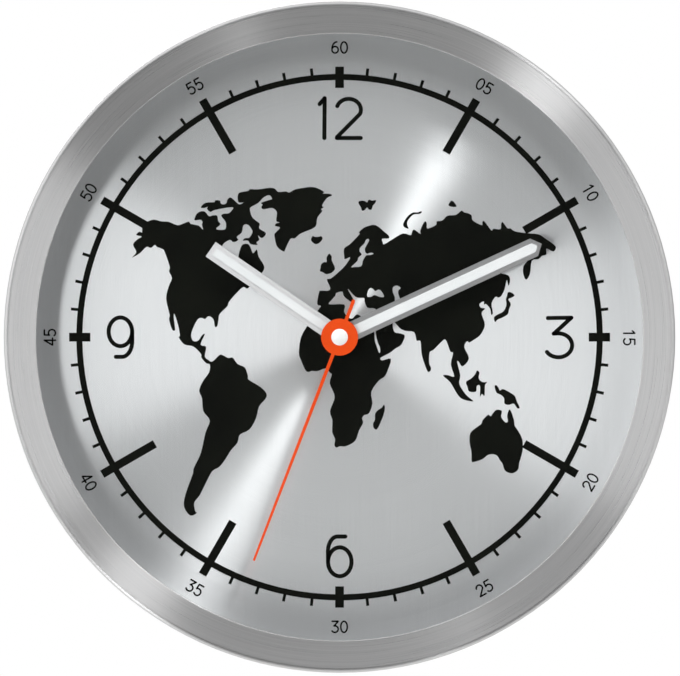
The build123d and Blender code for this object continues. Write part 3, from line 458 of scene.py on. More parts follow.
# Map of the world: land in the same black ink, printed on the dial in one pass with the rest. Its coasts
# are smooth lines through points, in millimetres right and up of the dial's middle.
americas = [
    (-88.3, 48.8), (-88, 50.6), (-85.5, 51.9), (-83, 52.6), (-79.6, 51.8), (-76.4, 51.6), (-72.6, 50.1),
    (-70, 50.8), (-67.4, 51.7), (-66.6, 50.7), (-63, 49.9), (-61.1, 48.1), (-61.6, 50.4), (-61.3, 51.4),
    (-62.2, 52.5), (-64.8, 52.3), (-64.6, 53.8), (-63.7, 55.4), (-62, 56.3), (-60.2, 56.1),
    (-58.4, 54.1), (-57, 54.4), (-54.8, 54.4), (-54.3, 52), (-53.3, 50.5), (-55.1, 48.8), (-54.5, 48.1),
    (-51.3, 48.2), (-50.8, 50.1), (-51.1, 51.8), (-52.9, 54.2), (-51.9, 55.2), (-49.6, 55.4),
    (-48.2, 56.8), (-47.7, 58.1), (-51.9, 57.7), (-56.4, 56.7), (-57.8, 56), (-59.3, 57.4), (-59, 58.3),
    (-60.5, 57.8), (-62.1, 58.1), (-60, 60.1), (-56.1, 60.4), (-55.6, 61.2), (-53.6, 61.1),
    (-53.1, 59.8), (-51.9, 59.4), (-50.7, 59.9), (-50.1, 61.6), (-48.7, 62.5), (-46.5, 60.7),
    (-44.9, 59.4), (-43, 60.3), (-45.1, 60.3), (-45.6, 62.5), (-44.9, 64.6), (-41, 65.4), (-40, 66.2),
    (-36.5, 66.1), (-31.4, 66.8), (-28.9, 66.4), (-27.4, 65), (-24, 65.2), (-22.5, 64.7), (-19.9, 66.1),
    (-15.4, 66.9), (-12.7, 67.2), (-10, 66.7), (-6.9, 65), (-7.5, 64.3), (-4.4, 64.1), (-3.4, 63.3),
    (-5.6, 62.3), (-7.8, 59), (-7.1, 58.1), (-8.3, 57.3), (-7.8, 56.3), (-9.9, 53.5), (-10.5, 49.9),
    (-12.5, 48.4), (-15.7, 47.1), (-18, 46), (-20, 44.2), (-22, 44), (-24.2, 39.5), (-25, 38.3),
    (-28, 40.6), (-29.1, 45.2), (-28.8, 46.6), (-26.6, 49), (-28.9, 49.8), (-28.3, 50.9), (-26.8, 51.3),
    (-28.3, 52), (-28, 55.5), (-28.8, 57), (-30.5, 57.8), (-34, 57.2), (-35, 58.2), (-34.4, 59.3),
    (-35.1, 60.1), (-31.7, 61.3), (-30.2, 61.8), (-31.4, 63.5), (-34, 62.5), (-36.3, 60.1),
    (-39.5, 58.3), (-40.1, 57.1), (-39.2, 53.9), (-37.2, 52), (-35.7, 50.7), (-35.9, 48.6),
    (-32.9, 46.5), (-34.7, 44.3), (-36.5, 45.5), (-35.9, 43.6), (-37.2, 42.4), (-36.7, 41.3),
    (-39.7, 41.6), (-41, 43.2), (-43.3, 43.2), (-42.2, 44.3), (-40.4, 44.5), (-39, 46.8), (-39.3, 48.2),
    (-41, 50.3), (-43, 50), (-43.8, 46.8), (-46, 44.9), (-45.3, 43.5), (-47.5, 42.5), (-49.2, 43.5),
    (-52.5, 41), (-50.5, 37.5), (-47.5, 34.5), (-45.5, 34.5), (-45, 37.6), (-43.6, 41.2), (-41, 41.7),
    (-39.7, 39.8), (-38.7, 37.5), (-37, 39.2), (-36.2, 36), (-33.8, 32), (-34.4, 29.2), (-38.5, 24.5),
    (-40.2, 22.6), (-41.5, 21.7), (-43.2, 22.4), (-46.8, 19), (-49.6, 15.6), (-50.2, 13.8),
    (-53.6, 10.4), (-54.2, 7.6), (-54.7, 5), (-55.8, 4.7), (-56.4, 8), (-58.6, 9.4), (-60.2, 8.1),
    (-61.6, 8.6), (-63.4, 8), (-65.4, 4.4), (-66.4, 1), (-65.6, -1.6), (-63.3, -1.6), (-61.5, 0.9),
    (-60.3, 1.2), (-62.2, -3.3), (-59.7, -4.3), (-60.3, -8.5), (-58.7, -10.2), (-56.9, -10.9),
    (-54, -8.2), (-52.6, -7.9), (-49.8, -9.3), (-47.8, -9.2), (-45.6, -12), (-42.4, -13.6),
    (-41, -17.3), (-40.7, -19), (-35.5, -22.2), (-32.7, -25.2), (-33.2, -27.7), (-36, -31),
    (-37.4, -36.4), (-40.4, -41.4), (-44.6, -43.6), (-45.7, -47.3), (-48.6, -50.6), (-51.4, -55.1),
    (-54, -58.2), (-57, -60), (-59.8, -65.2), (-62.6, -70.8), (-65, -74), (-64.6, -77.8),
    (-63.9, -78.7), (-66.8, -79.8), (-69.6, -75.8), (-68.9, -70.2), (-65.7, -61.3), (-65.2, -58.5),
    (-62.1, -52), (-60, -42.8), (-58.2, -38.3), (-58.6, -36.1), (-61, -33), (-61.5, -27.4),
    (-62.8, -24), (-61.2, -19.8), (-58.4, -15.8), (-58, -12.3), (-59.6, -11.7), (-61.8, -9.2),
    (-62, -7.5), (-65.4, -4.2), (-69.4, -3.3), (-71.9, -0.2), (-71.4, 0.8), (-72.2, 5.2), (-73.8, 10.3),
    (-74.2, 9), (-73.6, 4), (-73.7, 3), (-74.9, 3.4), (-76.3, 8), (-76, 10), (-77.6, 17.2),
    (-76.4, 22.8), (-75, 26.4), (-76.3, 29.4), (-76, 31.6), (-78.2, 38), (-79.2, 39.4), (-81.8, 40.4),
    (-82.6, 41.3), (-84.4, 39.9), (-86.4, 40.4), (-89.4, 37.5), (-92.9, 35.6), (-90.9, 38),
    (-92.4, 41.4), (-90.5, 43.7), (-88.5, 45), (-91, 45.7), (-89.6, 47.2), (-88.4, 46.8)]
old_world = [
    (2, 39.6), (4.4, 41.4), (7, 44), (9, 46.2), (8.6, 46.8), (10.2, 48.5), (12.4, 49.6), (16.2, 50.1),
    (20.4, 46.8), (22, 45.4), (22, 44.2), (19, 44), (19.4, 42.2), (20, 41.6), (24, 44), (28.4, 46.4),
    (31.8, 45.6), (32.4, 47), (33.4, 48.1), (36.2, 46.2), (36.1, 47.8), (38, 51.7), (39, 51), (39, 49),
    (40, 48.7), (43.2, 50.2), (43.5, 51.8), (46, 52.2), (48.2, 54.3), (52, 54.7), (54.5, 56.6),
    (55.8, 55.8), (57.6, 55.4), (59.1, 54.4), (59.6, 52.2), (63.6, 50.1), (63.9, 51.5), (64.8, 51.8),
    (67.9, 47.8), (68.9, 48.5), (72, 48.3), (72.3, 50.6), (73, 51.5), (75.1, 48.7), (76.4, 48.7),
    (78.6, 47.3), (84, 46.5), (89, 46), (92, 44.2), (95.8, 41.5), (96.8, 40), (95.6, 38.3),
    (92.6, 39.7), (92.5, 37), (90.6, 36.4), (89, 34.9), (86, 34.2), (85.2, 28.4), (83.4, 25.7),
    (82.1, 28.8), (82.4, 32), (84.2, 34.6), (82, 36), (78, 34), (74, 30.5), (72, 28.8), (75.4, 27.7),
    (76.3, 25.6), (75.6, 23), (74.9, 25.6), (74.3, 23.6), (73.7, 21), (72.3, 18.4), (71, 17.7),
    (69.7, 18), (68, 15), (68.6, 11), (67.9, 10), (67.4, 12.6), (65.6, 14.8), (64.6, 14.6), (64.5, 16),
    (62.6, 14.8), (63.2, 13.2), (65.1, 12.8), (63.8, 11.4), (63.7, 9.8), (65, 5.4), (63, 1),
    (59.9, -1.3), (58, -2.4), (57, -1.8), (55.8, -4.5), (57.9, -9.5), (55, -13.1), (53.3, -10.9),
    (52.6, -11.3), (54, -17), (53.6, -21), (56.6, -25.8), (59.9, -28.7), (55.1, -27.8), (52.6, -25.4),
    (49.6, -20.3), (46.3, -17.2), (48.6, -17), (51.3, -17.6), (49.8, -12.2), (50.8, -7.1), (49.6, -6.5),
    (48.3, -3), (47.3, -1.1), (46, -1.7), (42, -5.7), (40.3, -6.8), (40.1, -11.6), (41, -14),
    (40.2, -15.5), (39.1, -14.8), (36.8, -8), (36.2, -1.8), (34.5, -1.6), (33.4, 2.2), (29.6, 2.8),
    (27, 4), (24.3, 6.9), (23.8, 4.9), (24.7, 2.2), (27, 1.7), (29.2, 0.6), (27.6, -3.4), (25.1, -5),
    (22.5, -7), (19, -8.8), (18.2, -9.6), (19.2, -10.4), (23, -9.7), (21.5, -15), (20, -17.8),
    (17.6, -19.4), (14.2, -24.4), (14.7, -29.6), (13.2, -34), (11, -34.9), (10.1, -36.4), (10.5, -38.4),
    (8.7, -41.8), (7, -46.4), (2.8, -48.8), (0.2, -48.8), (-1.4, -49.4), (-2.3, -48.2), (-2, -45.6),
    (-3.3, -42.4), (-3.2, -37.2), (-4.3, -33.2), (-2.4, -28), (-2.5, -25.2), (-4.4, -20.6),
    (-3.5, -16.8), (-4.2, -16), (-6.4, -14), (-9.8, -15.2), (-12.5, -15.1), (-13.8, -15.6),
    (-15.3, -14.7), (-17.3, -10.2), (-18.2, -7), (-17.3, -0.2), (-14.3, 5.3), (-12, 8.5), (-9.4, 12.4),
    (-8.4, 14), (-10, 14.8), (-9.2, 20), (-8.4, 20.8), (-5, 20.8), (-4.2, 22.2), (-5.7, 25.8),
    (-4, 26.2), (-1, 28.6), (2.5, 32), (4.8, 35.7), (2.5, 34.9), (2.1, 36)]
seas = {
    "mediterranean": [
        (-4.6, 14.7), (-3.6, 16.6), (-2, 18.4), (-1.4, 19.8), (1.2, 20.4), (1.6, 19.2), (2.4, 17.8),
        (4, 16.6), (5.6, 15.6), (6.4, 16.4), (5.4, 18.3), (3.7, 21.5), (5, 20.3), (6.3, 18.8),
        (8, 17.7), (11, 17.5), (11.2, 16), (12.5, 13.2), (15.8, 12.8), (16.5, 10.5), (14.5, 8.5),
        (11, 8), (9.2, 9.6), (7.5, 10.1), (5.6, 8.3), (3.6, 9.2), (2, 11.5), (2.1, 14.6)],
    "red_sea": [
        (15.2, 4.5), (15.6, 1.4), (15.8, -1.6), (16.7, -4.4), (17.7, -7), (18.2, -6.4), (18, -4.4),
        (17.2, -2.6), (16.5, 0), (16.2, 2.5), (16, 4.5)],
    "baltic": [
        (5.2, 31.4), (7.9, 34), (8.4, 35.6), (9.9, 37), (9, 38.4), (9.2, 40), (11, 41.8), (11.6, 43.2),
        (12.5, 44), (13.2, 43.2), (11.4, 39.8), (11.6, 38), (12.4, 37.3), (14, 37.8), (15.2, 37.4),
        (14, 36.8), (12.2, 36.7), (11.3, 35.8), (10.4, 34), (10, 32.2), (9, 31.5), (7, 31.4)],
    "black_sea": [
        (12.4, 18.2), (12.6, 20.4), (13.7, 22), (15, 21.6), (16, 20.6), (17.6, 21.3), (19, 20.2),
        (19.9, 18.1), (18, 18), (15.7, 18.8), (14, 18)],
    "caspian": [
        (23.8, 22), (24.7, 22.9), (26, 23), (27.3, 22), (26.2, 20.6), (26.5, 18.6), (27, 17.2),
        (26, 15.5), (24.8, 16), (24.7, 18), (23.9, 20)],
}
islands = {
    "iceland": [
        (-12, 45.3), (-11.2, 44.9), (-9.4, 44.9), (-8.2, 45.2), (-7.6, 44), (-8.8, 42.4), (-10.4, 41.6),
        (-11.8, 42.2), (-12.8, 43.6)],
    "britain": [
        (-5, 37), (-4.4, 37.3), (-3.5, 36), (-3.5, 34.4), (-2.4, 32), (-2.1, 30.4), (-3.6, 28.8),
        (-6, 28.2), (-7.4, 29), (-8.8, 29.6), (-8.5, 31), (-8.3, 32.4), (-7, 33.6), (-5.8, 33.6),
        (-5.8, 35.6)],
    "svalbard": [
        (8.5, 59.9), (8.9, 60.9), (11.1, 61), (12.3, 60.3), (13.1, 61.5), (14.5, 61.1), (16.3, 61.3),
        (16, 60.1), (14.9, 58.8), (14.3, 57.1), (13.1, 57.1), (12.3, 58), (11.3, 56.9), (10, 56.6),
        (9.6, 58)],
    "novaya_zemlya": [
        (36.6, 56.4), (35, 55.8), (33, 55.8), (31, 54.6), (29.5, 52.8), (28.4, 50.3), (29.3, 49),
        (30.9, 48.6), (30.3, 50.2), (30.4, 51.8), (31.5, 53.4), (33.2, 54.9), (35.5, 55.1), (36.6, 55.6)],
    "severnaya_zemlya": [
        (48.7, 59.1), (50.3, 61.1), (52.4, 58.6), (50.5, 58.3)],
    "japan": [
        (75.4, 20.1), (77, 19.9), (78.3, 18.6), (76.8, 17.6), (75.5, 16.9), (76.6, 14.8), (75.8, 12.4),
        (75.2, 10.2), (72.5, 8.6), (70.6, 7.8), (69.7, 6.7), (69.1, 8), (69.3, 9.2), (71, 10.3),
        (73, 11.3), (74.2, 13), (74.7, 15), (74.4, 16.8), (74.9, 18.4)],
    "madagascar": [
        (19.9, -30.2), (20.3, -32), (19.6, -35), (18.4, -38), (17.3, -40.4), (16.3, -41.4),
        (15.2, -40.4), (15, -38.6), (15.8, -37), (15.9, -34.4), (17, -32.8), (18.8, -31.6)],
    "borneo_group": [
        (56.6, -20), (58.7, -18.6), (60.6, -16.7), (61.5, -14.9), (62.6, -15.9), (62.2, -17.9),
        (62.9, -19.4), (64.5, -20.2), (66, -20), (65.1, -21.4), (65, -23), (64.8, -26.3), (63.7, -25.4),
        (62.8, -26.6), (62.9, -22.2), (62.1, -21.4), (61.3, -22.2), (61, -24.4), (58, -24.3),
        (57.2, -22.2)],
    "new_guinea": [
        (69.4, -22), (70.2, -21.5), (71.3, -23), (71.8, -23.9), (73.1, -23.2), (76, -24.6),
        (78.4, -26.3), (79.3, -28.7), (80.6, -31.5), (79.5, -31.8), (77.9, -29.7), (75.8, -30.3),
        (73.8, -29.7), (73.6, -27.3), (72.1, -25.8), (70.2, -24.8)],
    "australia": [
        (70.2, -32.5), (72.6, -33), (72.3, -35.7), (74.2, -38.1), (75.3, -37.6), (75, -35),
        (76.2, -32.3), (78, -36.9), (78.3, -39.5), (79.9, -41.9), (81.7, -45.5), (82, -49.6),
        (81.4, -53), (80.4, -56.1), (79.9, -59.2), (77.7, -60.8), (75.5, -60.6), (73.8, -59.4),
        (72.9, -56.6), (71.7, -55.1), (70.8, -53.4), (69, -52.4), (66.4, -52.7), (63.9, -54.6),
        (60.2, -55.8), (59.1, -55.4), (59, -51.3), (58.2, -47.2), (58.5, -42.9), (61.1, -40.5),
        (63.4, -38.8), (64, -37.1), (66.5, -34.7), (67.6, -35.4), (68.7, -33.9)],
}


def coast(points, steps=3):
    """Closed smooth line through points: a Catmull-Rom curve, whose slope at each point follows the line
    between its neighbours."""
    points = np.asarray(points, float)
    before, after, beyond = (np.roll(points, shift, axis=0) for shift in (1, -1, -2))
    t = (np.arange(steps) / steps)[None, :, None]
    p0, p1, p2, p3 = (block[:, None, :] for block in (before, points, after, beyond))
    line = 0.5 * (2 * p1 + (p2 - p0) * t + (2 * p0 - 5 * p1 + 4 * p2 - p3) * t ** 2
                  + (3 * p1 - p0 - 3 * p2 + p3) * t ** 3)
    return line.reshape(-1, 2)


def land_film(outline, seas=()):
    """Film of ink inside a coast, less the seas in it: filled with triangles in front and behind,
    and walled along each edge."""
    lines = [coast(outline), *(coast(sea) for sea in seas)]
    flat = np.vstack(lines)
    count = len(flat)
    triangles = np.array(tessellate_polygon([[Vector((*p, 0.0)) for p in line] for line in lines]))
    starts = np.cumsum([0] + [len(line) for line in lines])
    walls = []
    for start, end in zip(starts[:-1], starts[1:]):
        here = np.arange(start, end)
        there = np.roll(here, -1)
        walls.append(np.column_stack((here, there, there + count, here + count)))
    points = np.vstack((at_depth(flat, dial_front - film), at_depth(flat, dial_front)))
    faces = triangles.tolist() + (triangles[:, ::-1] + count).tolist() + np.vstack(walls).tolist()
    return points.tolist(), faces


put_piece("map_americas", *land_film(americas), black_ink, "case", "black_ink")
put_piece("map_old_world", *land_film(old_world, seas.values()), black_ink, "case", "black_ink")
for name, outline in islands.items():
    put_piece("map_" + name, *land_film(outline), black_ink, "case", "black_ink")

# Movement case: a tray and a snap-on rear cover moulded in black ABS, with a fine spark-eroded grain.
# Raised on the rear cover are a ring and two arrows round the setting knob, the signs of the two cell
# ends, and a bare panel with a frame.
abs_dark = (0.020, 0.020, 0.021)
abs_light = (0.032, 0.032, 0.033)
black_abs = grained("black_moulded_case", abs_dark, abs_light, rough=0.48, fine=2600.0, depth=0.06 * mm,
                    strength=0.4)
dress(black_abs, "movement_front_case", "movement_rear_cover")
movement_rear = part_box("movement_rear_cover")[1].y
sign_rise = 0.35 * mm
sign_layer = 0.03 * mm
sign_width = 0.7
sign_height = -9.0
plus_place = 23.0
sign_half = 1.6
knob_low, knob_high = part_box("set_knob")
knob_place = (knob_low.x + knob_high.x) / 2 / mm
arrow_radius = 7.4
arrow_spread = 46.0
arrow_barb = 1.7
ring_radius = 9.4
panel_middle = (-9.0, 15.0)
panel_half = (13.0, 6.5)
panel_corner = 2.0


def sign(line, layer=0, closed=False):
    """Raised stroke on the rear cover of the movement, a layer higher where it crosses another."""
    rise = sign_rise + layer * sign_layer
    return stroke(line, sign_width, closed, cap_steps=4, face=movement_rear, rise=rise)


def panel_frame():
    """Rounded rectangle: a quarter circle at each corner, and straight between them."""
    inner = np.array(panel_half) - panel_corner
    corners = []
    for quarter, side in enumerate(((1, 1), (-1, 1), (-1, -1), (1, -1))):
        middle = np.array(panel_middle) + inner * side
        corners.append(oval(middle, (panel_corner, panel_corner), 90 * quarter, 90 * quarter + 90, 8))
    return np.vstack(corners)


def turning_arrow(middle):
    """Arc round the knob about a middle angle, with two barbs at its end, each at 45 degrees to the arc."""
    radii = (arrow_radius, arrow_radius)
    arc = oval((knob_place, 0.0), radii, middle - arrow_spread, middle + arrow_spread)
    run = (arc[-1] - arc[-2]) / np.linalg.norm(arc[-1] - arc[-2])
    out = np.array((run[1], -run[0]))
    return [sign(arc), sign([arc[-1], arc[-1] - arrow_barb * (run + out)], 1),
            sign([arc[-1], arc[-1] - arrow_barb * (run - out)], 2)]


signs = [
    sign([(plus_place - sign_half, sign_height), (plus_place + sign_half, sign_height)]),
    sign([(plus_place, sign_height - sign_half), (plus_place, sign_height + sign_half)], 1),
    sign([(-plus_place - sign_half, sign_height), (-plus_place + sign_half, sign_height)]),
    *turning_arrow(90.0),
    *turning_arrow(270.0),
    sign(oval((knob_place, 0.0), (ring_radius, ring_radius), 0, 354, ring_steps), closed=True),
    sign(panel_frame(), closed=True),
]
put_piece("movement_signs", *gather(signs), black_abs, "case", "black_abs")

# Stepping motor: a coil of enamelled wire on a moulded bobbin, its annealed steel core, a stamped stator
# plate and a small sintered magnet on the rotor. The wire lies in close turns side by side.
core_steel = grained("annealed_core_steel", dark=(0.42, 0.42, 0.43), light=(0.52, 0.52, 0.53), rough=0.45,
                     metallic=1.0)
dress(core_steel, "stator_plate", "coil_core")
wire_pitch = 0.12 * mm
turn_shade_weight = 0.6
mix_start = 0.3
mix_end = 1.3
coil_copper, tree, shader, place = new_material("enamelled_copper_wire")
# Painted shade and highlight: the wire's colour goes darker in the grooves between turns and lighter on
# their crests, on top of a random tone.
wire_phase = math_node(tree, "MULTIPLY", parted(tree, place)[0], 2 * np.pi / wire_pitch)
wire_turns = math_node(tree, "SINE", wire_phase)
turn_shade_share = carried(tree, wire_turns, -1.0, 1.0, 0.0, turn_shade_weight)
wire_mix = math_node(tree, "ADD", turn_shade_share, noise_node(tree, place, scale=900.0, detail=2.0))
wire_tone_and_shade = carried(tree, wire_mix, mix_start, mix_end)
lined_metal(tree, shader, wire_tone_and_shade, wire_turns, dark=(0.50, 0.18, 0.08), light=(0.70, 0.31, 0.15),
            roughness=(0.42, 0.26), depth=0.02 * mm, strength=0.6)
dress(coil_copper, "coil_winding")
magnet_grey = grained("sintered_magnet", dark=(0.12, 0.12, 0.13), light=(0.18, 0.18, 0.19), rough=0.5,
                      metallic=0.6)
dress(magnet_grey, "rotor_magnet")

# Circuit: a small glass-fibre board under green solder mask, with rows of tinned pads joined by tracks,
# a chip under a drop of black resin, and a quartz crystal in a drawn metal can.
pad_pitch = 1.9 * mm
pad_radius = 0.3
track_half = 0.08
mask_dark = (0.02, 0.12, 0.05)
mask_light = (0.03, 0.16, 0.07)
track_green = (0.06, 0.26, 0.10)
pad_tin = (0.62, 0.62, 0.60)
mask_smooth = 0.28
mask_rough = 0.40
board_green, tree, shader, place = new_material("solder_mask_green")
board_grid = vector_node(tree, "SCALE", place)
board_grid.node.inputs["Scale"].default_value = 1.0 / pad_pitch
board_cell = vector_node(tree, "SUBTRACT", vector_node(tree, "FRACTION", board_grid), (0.5, 0.0, 0.5))
board_parts = parted(tree, board_cell)
pad_reach = vector_node(tree, "LENGTH", vector_node(tree, "MULTIPLY", board_cell, (1.0, 0.0, 1.0)))
pads = math_node(tree, "LESS_THAN", pad_reach, pad_radius)
tracks = math_node(tree, "LESS_THAN", math_node(tree, "ABSOLUTE", board_parts[2]), track_half)
weave = spread_noise(tree, noise_node(tree, place, scale=2500.0, detail=2.0))
mask_colour = blend_colours(tree, weave, mask_dark, mask_light)
track_colour = blend_colours(tree, tracks, mask_colour, track_green)
board_colour = blend_colours(tree, pads, track_colour, pad_tin)
set_surface(tree, shader, board_colour, carried(tree, weave, 0.0, 1.0, mask_smooth, mask_rough), pads)
raise_grain(tree, shader, math_node(tree, "MAXIMUM", pads, tracks), depth=0.03 * mm, strength=0.6)
dress(board_green, "circuit_board")
resin_black = grained("cast_resin", dark=(0.012, 0.012, 0.012), light=(0.02, 0.02, 0.02), rough=0.22,
                      fine=900.0)
dress(resin_black, "ic_blob")
zinc_steel = grained("zinc_plated_steel", dark=(0.50, 0.51, 0.52), light=(0.64, 0.65, 0.66), rough=0.34,
                     metallic=1.0, fine=900.0, coarse=140.0)
dress(zinc_steel, "quartz_crystal", "battery_contact_negative", "battery_contact_positive", "nut_washer")

# Wheels: moulded acetal, a little waxy, on ground steel arbors that run in blind holes in the case.
# A dished spring washer lets the centre wheel slip on its pinion while the fluted knob sets the hands.
gear_acetal = grained("moulded_acetal", dark=(0.78, 0.76, 0.70), light=(0.88, 0.87, 0.82), rough=0.38,
                      fine=1500.0, coarse=220.0)
dress(gear_acetal, "coil_bobbin", "seconds_wheel", "third_wheel", "centre_wheel", "intermediate_wheel",
      "rotor_pinion", "hour_wheel", "setting_wheel")
arbor_steel = grained("ground_arbor_steel", dark=(0.55, 0.55, 0.56), light=(0.66, 0.66, 0.67), rough=0.25,
                      metallic=1.0, fine=7000.0)
dress(arbor_steel, "seconds_arbor", "third_arbor", "intermediate_arbor", "clutch_washer")
knob_plastic = grained("knob_plastic", dark=(0.10, 0.10, 0.105), light=(0.14, 0.14, 0.145), rough=0.42,
                       fine=2600.0, depth=0.05 * mm, strength=0.3)
dress(knob_plastic, "set_knob")

# Bush, nut, cannon pinion and the tubes of the hands: brass turned on a lathe, left bright.
# The tool's feed lines run round the same axis on all of them.
turned_brass, tree, shader, place = new_material("turned_brass")
feed_lines = place_group(tree, ring_lines, place, Fine=14000.0, Length=0.8)["Lines"]
lined_metal(tree, shader, spread_noise(tree, feed_lines), feed_lines, dark=(0.58, 0.41, 0.17),
            light=(0.76, 0.58, 0.29), roughness=(0.24, 0.36), depth=0.02 * mm, strength=0.3)
dress(turned_brass, "centre_bush", "hex_nut", "cannon_pinion", "hour_hand_collet", "minute_hand_collet",
      "second_hand_tube")

# Hands: two blades stamped from aluminium sheet and brushed along their length, each with a white
# lacquered inlay. The second hand is painted orange and closed with a white moulded cap.
hour_angle = 304.3
minute_angle = 65.2
blade_fine = 9000.0
blade_coarse = 60.0


def brushed_blade(name, clock_angle, dark, light):
    """Metal brushed along a hand: noise at a fine scale across the blade and a coarse one along it,
    with highlights spread across the lines."""
    turn = np.radians(clock_angle)
    across = (np.cos(turn), 0.0, -np.sin(turn))
    material, tree, shader, place = new_material(name)
    middle = from_axis(tree, place)
    along_part = vector_node(tree, "DOT_PRODUCT", middle, (np.sin(turn), 0.0, np.cos(turn)))
    across_part = vector_node(tree, "DOT_PRODUCT", middle, across)
    lines_place = combined(tree, math_node(tree, "MULTIPLY", across_part, blade_fine),
                           math_node(tree, "MULTIPLY", along_part, blade_coarse))
    lines = noise_node(tree, lines_place, scale=1.0, detail=2.0)
    facing = tree.nodes.new("ShaderNodeVectorTransform")
    facing.vector_type = "VECTOR"
    facing.convert_from = "OBJECT"
    facing.convert_to = "WORLD"
    facing.inputs[0].default_value = across
    lined_metal(tree, shader, spread_noise(tree, lines), lines, dark, light, roughness=(0.42, 0.48),
                depth=0.01 * mm, strength=0.15, tangent=facing.outputs[0])
    return material


# Painted highlight: the hour hand's metal is coloured lighter than the minute hand's, though both are the
# same aluminium.
hour_metal_painted_highlight = brushed_blade("hour_hand_aluminium_painted_highlight", hour_angle, dark=(0.60, 0.60, 0.61),
                           light=(0.72, 0.72, 0.73))
dress(hour_metal_painted_highlight, "hour_hand")
# Painted shade: the minute hand's metal is coloured darker than the hour hand's, though both are the same
# aluminium.
minute_metal_painted_shade = brushed_blade("minute_hand_aluminium_painted_shade", minute_angle, dark=(0.46, 0.46, 0.47),
                             light=(0.56, 0.56, 0.57))
dress(minute_metal_painted_shade, "minute_hand")
hand_white = grained("hand_white_lacquer", dark=(0.64, 0.66, 0.67), light=(0.69, 0.70, 0.71), rough=0.4)
dress(hand_white, "hour_hand_inlay", "minute_hand_inlay")
hand_orange = grained("hand_orange_paint", dark=(0.62, 0.050, 0.0005), light=(0.67, 0.058, 0.001),
                      rough=0.5, gloss=0.2)
dress(hand_orange, "second_hand")
cap_white = grained("cap_white_plastic", dark=(0.72, 0.73, 0.73), light=(0.77, 0.77, 0.77), rough=0.25)
dress(cap_white, "second_hand_cap")

# Back cover: a disc of black ABS moulded with a coarser grain that closes the case from behind.
# Two raised beads, half ovals in section, stiffen its wide flat face.
cover_abs = grained("black_moulded_cover", dark=(0.016, 0.016, 0.017), light=(0.021, 0.021, 0.022),
                    rough=0.5, fine=1500.0, coarse=35.0, depth=0.1 * mm, strength=0.5)
dress(cover_abs, "back_cover")
cover_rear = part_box("back_cover")[1].y
bead_radii = (72.0, 132.0)
bead_half_width = 1.6
bead_rise = 0.8
bead_sink = 0.05


def grid_faces(rows, columns, closed_rows=False):
    """Four-cornered faces between neighbours of a grid whose columns join up all the way round."""
    row = np.arange(rows if closed_rows else rows - 1)[:, None]
    column = np.arange(columns)[None, :]
    below = (row + 1) % rows
    beside = (column + 1) % columns
    corners = np.stack((row * columns + column, row * columns + beside, below * columns + beside,
                        below * columns + column), axis=2)
    return corners.reshape(-1, 4)


def moulded_bead(radius, steps=160, profile_steps=14):
    """Ring whose section is a raised half oval with a flat foot: the section's angle runs round the oval,
    the other angle round the hands' axis."""
    section = np.linspace(0.0, 2 * np.pi, profile_steps, endpoint=False)[:, None]
    around = np.linspace(0.0, 2 * np.pi, steps, endpoint=False)[None, :]
    reach = (radius + bead_half_width * np.cos(section)) * mm
    rise = np.maximum(bead_rise * np.sin(section), -bead_sink) * mm
    right = reach * np.cos(around)
    depth = cover_rear + rise + 0 * around
    upward = reach * np.sin(around) + axis_height
    points = np.stack((right, depth, upward), axis=2)
    return points.reshape(-1, 3), grid_faces(profile_steps, steps, closed_rows=True)


beads = [moulded_bead(radius) for radius in bead_radii]
put_piece("back_cover_beads", *gather(beads), cover_abs, "case", "black_abs")

# Cover screws: six countersunk screws of zinc plated steel with a cross recess and a rolled thread.
# They hold the cover to posts in the rim.
screw_circle = 144.75
screw_head_radius = 2.5
screw_shank_radius = 1.4
thread_depth = 0.32
thread_pitch = 1.1
screw_length = 12.0
recess_arm = 1.5
recess_half_width = 0.36
recess_depth = 0.75
recess_slope = 0.12
point_length = 1.6


def cover_screw(direction, steps=72, face_rings=26, shank_rings=90):
    """Countersunk screw as a grid of depth and angle. In its face a cross of two bars sinks to the recess
    depth. Below the cone the radius follows a thread, a wave of depth over pitch less angle over a turn."""
    angle = np.linspace(0.0, 2 * np.pi, steps, endpoint=False)[None, :]
    face_radius = np.linspace(0.0, screw_head_radius, face_rings)[:, None] + 0 * angle
    across = np.abs(face_radius * np.cos(angle))
    up = np.abs(face_radius * np.sin(angle))
    level_bar = np.maximum(across - recess_arm, up - recess_half_width)
    upright_bar = np.maximum(up - recess_arm, across - recess_half_width)
    sunk = np.clip(-np.minimum(level_bar, upright_bar) / recess_slope, 0.0, 1.0)
    neck = screw_head_radius - screw_shank_radius
    shank_depth = np.linspace(neck, screw_length, shank_rings)[:, None] + 0 * angle
    wave = np.abs(2 * ((shank_depth / thread_pitch - angle / (2 * np.pi)) % 1.0) - 1)
    taper = np.clip((screw_length - shank_depth) / point_length, 0.0, 1.0)
    shank_radius = (screw_shank_radius - thread_depth * wave) * taper
    radius = np.vstack((face_radius, shank_radius))
    depth = np.vstack((recess_depth * sunk, shank_depth))
    turn = np.radians(direction)
    right = screw_circle * np.cos(turn) + radius * np.cos(angle)
    rise = screw_circle * np.sin(turn) + radius * np.sin(angle)
    points = np.stack((right * mm, cover_rear - depth * mm, rise * mm + axis_height), axis=2)
    return points.reshape(-1, 3), grid_faces(len(radius), steps)


cover_screws = [cover_screw(direction) for direction in range(30, 390, 60)]
screws = put_piece("cover_screws", *gather(cover_screws), zinc_steel, "case", "zinc_steel")
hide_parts("back_cover_screws")

